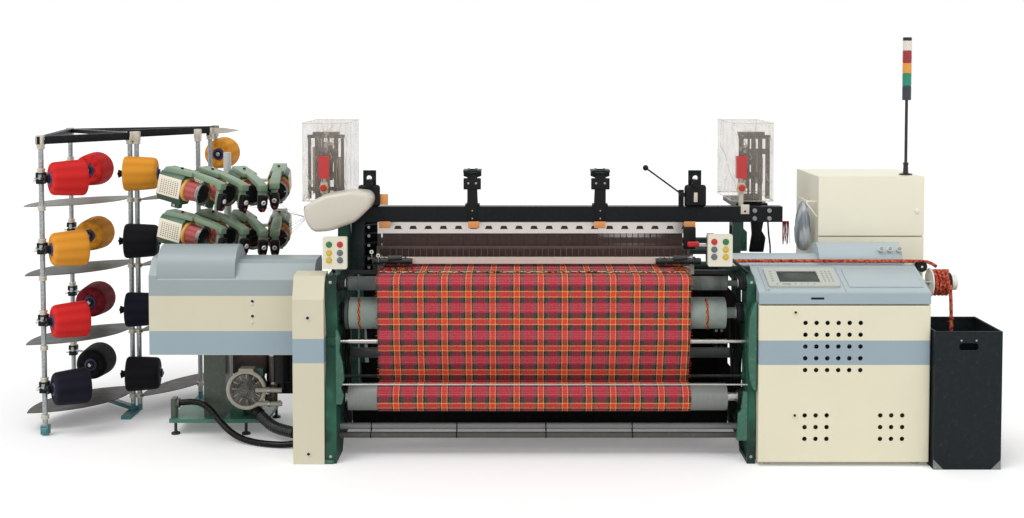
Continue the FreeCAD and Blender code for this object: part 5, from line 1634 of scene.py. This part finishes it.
class LOOM_OT_beam_parts(bpy.types.Operator):
    """Bolts, brackets, orange tags and guide heads on the top beam, and the rings round the stop buttons"""
    bl_idname = "loom.beam_parts"
    bl_label = "Beam parts"

    def execute(self, context):
        parts = Shape()
        bright, black, orange, rubber, beige, red, yellow = range(7)
        for x0, x1 in ((-104, -39), (646, 717)):
            parts.block((x0 - 19, -412, 1463), (x1 + 19, -396, 1530), black, 4.0)
            for x in (x0 + 10, x1 - 10):
                bolt(parts, (x, -345, 1577), UP, 8)
                bolt(parts, (x, -412, 1500), FRONT, 5)
            parts.block((x0 + 3, -405, 1274), (x1 - 3, -396, 1545), black, 3.0)
            for z in (1292, 1338):
                parts.pin(((x0 + x1) / 2, -405, z), "y", -2, 4, bright, 12)
        for x in (-620, -96, 646, 1176):
            parts.block((x, -404.5, 1234), (x + 66, -400.5, 1274), orange, 1.0)
            parts.block((x + 28, -403.5, 1262), (x + 38, -400.5, 1296), rubber, 0.5)
        parts.block((-622, -404.5, 1372), (-566, -400.5, 1436), orange, 1.0)
        for x in (-676, 1238):
            parts.block((x - 64, -432, 1362), (x + 64, -394, 1492), black, 18.0, 5)
            parts.pin((x, -433, 1420), "y", -1.5, 38, rubber, 40)
            parts.block((x - 11, -437, 1392), (x + 11, -434, 1448), beige, 2.0)
            parts.pin((x, -452, 1500), "y", 92, 24, black, 32)
        parts.block((1508, -405, 1318), (1558, -400.4, 1374), beige, 1.0)
        parts.pin((1533, -405, 1334), "y", -1, 6, black)
        parts.blocks(black, 8.0, (-741, -470, 1380, -716, -400, 1470), (1160, -500, 1124, 1232, -470, 1252),
            segments=3)
        parts.block((1180, -524, 1138), (1250, -498, 1170), red, 8.0, 3)
        for side in ("left", "right"):
            low, high = (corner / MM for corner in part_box("estop_" + side))
            at = ((low.x + high.x) / 2, high.y - 1, (low.z + high.z) / 2)
            parts.turned(((0, 16), (0, 27), (4, 26), (5, 16)), at, FRONT, yellow, 28)
        parts.piece("beam_fittings",
            "steel black_plastic orange_tag black_rubber beige_plastic red_plastic yellow_plastic",
            "black_paint")
        return {"FINISHED"}


class LOOM_OT_frame_parts(bpy.types.Operator):
    """Bearing and foot bolts of the side frames, cable ties and the rod below the cloth"""
    bl_idname = "loom.frame_parts"
    bl_label = "Frame parts"

    def execute(self, context):
        parts = Shape()
        for x in (-628, -148, 352, 836):
            for y, z, radius in ((-780, 164, 18.6), (-815, 124, 17.1)):
                tie = ((0, radius - 1), (0, radius + 2), (6, radius + 2), (6, radius - 1))
                parts.turned(tie, (x, y, z), RIGHT, 1, 24)
            parts.block((x - 1, -800, 140), (x + 7, -792, 150), 1, 1.0)
        parts.pin((-799, -944, 440), "x", 2256, 5)
        for x, side in ((-860, -1), (-800, 1), (1458, -1), (1503, 1)):
            for centre, radius in ((TAKEUP_AXIS, 51), (ROLL_AXIS, 43), (BEAM_AXIS, 63), (ROCKING_AXIS, 51)):
                for y, z in around(6, centre, radius, 0.5):
                    bolt(parts, (x, y, z), (side, 0, 0), 4.5)
        for x in (-832, 1480):
            bolt(parts, (x, -946, 40), FRONT, 7)
            bolt(parts, (x, -920, 1000), FRONT, 7)
        parts.piece("frame_fittings", "steel black_rubber", "bright_steel")
        return {"FINISHED"}


class LOOM_OT_heads(bpy.types.Operator):
    """Frames and guides of the selvedge heads under the clear hoods, and the rounded rapier hood"""
    bl_idname = "loom.heads"
    bl_label = "Selvedge heads"

    def execute(self, context):
        parts = Shape()
        dark, pale, bright = range(3)
        parts.blocks(dark, 2.0, *((x, -235, 1392, x + 17, -215, 1768) for x in (-1064, -1004, -866)),
            (-1066, -240, 1756, -846, -196, 1776), (-1066, -238, 1440, -846, -222, 1462))
        parts.block((-986, -205, 1500), (-920, -190, 1730), dark, 4.0)
        parts.blocks(pale, 1.5, (-1044, -190, 1420, -1012, -180, 1700), (-912, -190, 1408, -872, -180,
            1640))
        parts.blocks(dark, 2.0, *((x, -235, 1392, x + 24, -210, 1752) for x in (1600, 1686)), (1524, -240,
            1752, 1712, -196, 1774), (1600, -238, 1660, 1710, -214, 1692))
        parts.block((1532, -205, 1450), (1586, -190, 1700), dark, 4.0)
        parts.block((1632, -200, 1480), (1676, -186, 1640), pale, 6.0)
        for x in (-960, 1560):
            for z in (1480, 1590, 1690):
                parts.turned(((0, 8), (0, 24), (4, 26), (10, 26), (12, 22), (12, 8)), (x, -212, z), FRONT,
                    bright, 24)
            parts.strand([(x, -214, 1740), (x + 40, -240, 1640), (x - 30, -244, 1560), (x + 10, -236,
                1420)], 2.4, pale)
        parts.piece("selvedge_fittings", "black_coat board_beige steel", "black_paint")
        hood = Shape()
        hood.plate(((-1029, 1358), (-1015, 1295), (-975, 1238), (-878, 1243), (-734, 1295), (-643, 1381),
            (-634, 1432), (-660, 1466), (-763, 1475), (-906, 1449), (-992, 1409), (-1026, 1381)), "y", -636,
            -430, 0, 26.0, segments=6)
        hood.piece("rapier_hood_shell", "beige_plastic", "beige_plastic", replaces=["rapier_hood"],
            sharp=60.0)
        return {"FINISHED"}


class LOOM_OT_castings(bpy.types.Operator):
    """Black sheets of painted shade inside the frame, green gear covers, roller bearings, cables and the
    guide block beside the reed
    """
    bl_idname = "loom.castings"
    bl_label = "Castings"

    def execute(self, context):
        parts, pick = Shape(), random.Random(8)
        green, black, bright, black_and_shade, red, slate = range(6)
        # Black sheets set where only shade shows inside the machine: painted shade.
        parts.plate(((-785, 190), (1453, 190), (1453, 900), (1165, 900), (1165, 330), (-588, 330), (-588,
            900), (-780, 900), (-740, 330), (-785, 330)), "y", 60, 63, black_and_shade)
        parts.blocks(black_and_shade, 0.0, (-795, -303, 22, 1453, -300, 224), (1438, -370, 190, 1441, 58, 960), (1438,
            -640, 190, 1441, -370, 430), (1438, -640, 570, 1441, -370, 880))
        parts.block((-799, -300, 943), (-724, -200, 1264), slate, 3.0)
        parts.block((-735, -225, 943), (-650, -195, 1262), black_and_shade, 6.0)
        for z in (985, 1040, 1118, 1176, 1228):
            parts.rod((-726, -232, z), (-656, -232, z + 8), 7, slate, 5, 12)
            parts.pin((-700, -236, z - 8), "y", -10, 9, bright, 12)
        parts.plate(((-800, 330), (-768, 330), (-757, 380), (-772, 420), (-754, 470), (-762, 560), (-780,
            620), (-774, 700), (-790, 742), (-800, 742)), "y", -952, -926, green, 4.0)
        parts.plate(((1503, 905), (1478, 880), (1462, 820), (1455, 740), (1455, 560), (1462, 480), (1478,
            425), (1503, 405)), "y", -985, -925, green, 8.0, segments=3)
        parts.plate(((1400, 130), (1458, 130), (1458, 400), (1434, 404), (1426, 300), (1406, 280)), "y",
            -952, -926, green, 4.0)
        parts.block((-980, -955, 0), (-815, -905, 22), green, 2.0)
        parts.plate(((1500, 1062), (1592, 1062), (1592, 1180), (1570, 1200), (1570, 1268), (1500, 1268)),
            "y", -150, -110, green, 5.0)
        parts.plate(((1602, 1060), (1688, 1060), (1700, 1150), (1676, 1190), (1690, 1262), (1610, 1262),
            (1618, 1170)), "y", -180, -140, black, 6.0)
        for x, side in ((-796, 1), (1454, -1)):
            for centre, inner, outer in ((TAKEUP_AXIS, 34, 62), (BREAST_AXIS, 22, 46), (ROLL_AXIS, 28, 54)):
                housing = ((0, inner), (0, outer), (10, outer), (14, outer - 8), (34, outer - 10), (38,
                    outer - 16), (38, inner))
                ring = ((38, inner), (38, inner + 6), (42, inner + 6), (42, inner))
                parts.turned(housing, (x, *centre), (side, 0, 0), black)
                parts.turned(ring, (x, *centre), (side, 0, 0), bright)
        for x in (1380, 1412):
            for z in (460, 560, 640, 720):
                parts.block((x, -240, z), (x + 26, -200, z + 70), black, 6.0)
                parts.pin((x + 13, -242, z + 35), "y", -10, 9, bright, 12)
        for low, high in ((-792, -760), (1392, 1450)):
            for i in range(7):
                x, y = pick.uniform(low, high), pick.uniform(-700, -640)
                parts.strand([(x, y, 760), (x + pick.uniform(-18, 18), y - 20, 600), (x + pick.uniform(-14,
                    14), y - 40, 430), (x + pick.uniform(-14, 14), y - 30, 240), (x + pick.uniform(-10, 20),
                    y, 130)], 4.5, black if i % 3 else black_and_shade)
        parts.strand([(1668, -402, 1270), (1672, -408, 1200), (1682, -404, 1130), (1684, -400, 1075)], 5.0,
            black)
        for i in range(16):
            x = 1756 + 2.4 * i
            parts.strand([(x, -396, 1276), (x + pick.uniform(-3, 3), -404, 1220), (x + pick.uniform(-7, 9),
                -402, 1150 + pick.uniform(-14, 10))], 1.6, red, sides=4)
        parts.piece("side_castings", "bright_casting black_coat steel guard_black dark_red_yarn slate_iron",
            "green_casting")
        return {"FINISHED"}


class LOOM_OT_bin_parts(bpy.types.Operator):
    """Rivets of the waste bin"""
    bl_idname = "loom.bin_parts"
    bl_label = "Bin parts"

    def execute(self, context):
        parts = Shape()
        for x in (2592, 2673):
            parts.turned(((0, 0), (0, 6), (2, 5), (3, 0)), (x, -1050, 706), FRONT, 0, 16)
        for x in (2462, 2482, 2783, 2803):
            parts.turned(((0, 0), (0, 4), (1.5, 3), (2, 0)), (x, -1050, 13), FRONT, 0, 12)
        parts.piece("bin_rivets", "steel", "bright_steel")
        return {"FINISHED"}


class LOOM_OT_temple_parts(bpy.types.Operator):
    """White eyelets, pins and ribbed rollers by the temples, and yarns wrapped on the take-up roller"""
    bl_idname = "loom.temple_parts"
    bl_label = "Temple parts"

    def execute(self, context):
        parts, pick = Shape(), random.Random(3)
        white, bright, ribbed = range(3)
        for x, y, z in ((-604, -600, 1102), (-640, -612, 1124), (1306, -640, 1112), (1332, -668, 1100)):
            parts.turned(((0, 5), (0, 11), (3, 12), (6, 11), (6, 5)), (x, y, z), FRONT, white, 24)
            parts.pin((x, y + 2, z - 10), "z", -30, 2.5, bright, 8)
        for x in (-640, 1020):
            for i in range(4):
                parts.pin((x + i * 50, -548, 1047), "z", 37, 4, bright, 8)
        for low, high in ((-636, -420), (1000, 1240)):
            for i in range(22):
                x, z, radius = pick.uniform(low, high), pick.uniform(1046, 1082), pick.uniform(7, 13)
                end = (x + pick.uniform(-8, 8), -560 - pick.uniform(24, 36), z + pick.uniform(-6, 6))
                parts.rod((x, -560, z), end, radius, ribbed, radius * 0.7, 8)
            for i in range(16):
                parts.pin((low + (high - low) * (i + 0.5) / 16, -579, 1066), "x", 5, 20, ribbed, 20)
        for low, high in ((-548, -470), (1090, 1168)):
            parts.rod((low, -584, 1082), (high, -584, 1086), 20, ribbed, 16, 12)
            parts.block((low + 64, -592, 1056), (high + 56, -570, 1072), ribbed, 3.0)
        parts.piece("temple_fittings", "white_ceramic steel ribbed_grey", "bright_steel")
        wraps = Shape()
        for left in (-686, 1246):
            for shade in range(3):
                wraps.strand([(left + 5 * math.sin(i * 0.9 + shade * 1.3) + i * 0.3,
                    TAKEUP_AXIS[0] + 90 * math.cos(1.9 + i * 0.11),
                    TAKEUP_AXIS[1] + 90 * math.sin(1.9 + i * 0.11)) for i in range(24)], 2.6, shade, sides=5)
        wraps.piece("roller_yarns", "red_yarn orange_yarn black_yarn", "waste_yarn", "takeup_roller")
        return {"FINISHED"}


# ---- panel and registration ---------------------------------------------------------------
OPERATORS = (LOOM_OT_stage, LOOM_OT_waste_rope, LOOM_OT_floor_hose, LOOM_OT_finishes, LOOM_OT_cloth,
    LOOM_OT_cloth_roll, LOOM_OT_warp, LOOM_OT_reed, LOOM_OT_packages, LOOM_OT_creel_parts, LOOM_OT_feeders,
    LOOM_OT_vacuum, LOOM_OT_waste_drum, LOOM_OT_filter_bag, LOOM_OT_console_parts, LOOM_OT_beam_parts,
    LOOM_OT_frame_parts, LOOM_OT_heads, LOOM_OT_castings, LOOM_OT_bin_parts, LOOM_OT_temple_parts)
SETTINGS = (("loom_colours", LoomColours), ("loom_sizes", LoomSizes), ("loom_light", LoomLight))


class LOOM_PT_parts(bpy.types.Panel):
    """Buttons that build each group of the loom, and its sizes and colours"""
    bl_idname = "LOOM_PT_parts"
    bl_label = "Power loom"
    bl_space_type = "VIEW_3D"
    bl_region_type = "UI"
    bl_category = "Loom"

    def draw(self, context):
        layout = self.layout
        for group, _ in SETTINGS:
            settings = getattr(context.scene, group)
            box = layout.box()
            for name in settings.__annotations__:
                box.prop(settings, name)
        for operator in OPERATORS:
            layout.operator(operator.bl_idname)


def register():
    for name, kind in SETTINGS:
        bpy.utils.register_class(kind)
        setattr(bpy.types.Scene, name, PointerProperty(type=kind))
    for kind in (*OPERATORS, LOOM_PT_parts):
        bpy.utils.register_class(kind)


def unregister():
    for kind in (LOOM_PT_parts, *reversed(OPERATORS)):
        bpy.utils.unregister_class(kind)
    for name, kind in reversed(SETTINGS):
        delattr(bpy.types.Scene, name)
        bpy.utils.unregister_class(kind)


def main():
    register()
    for operator in OPERATORS:
        group, name = operator.bl_idname.split(".")
        getattr(getattr(bpy.ops, group), name)()


if __name__ == "__main__":
    main()
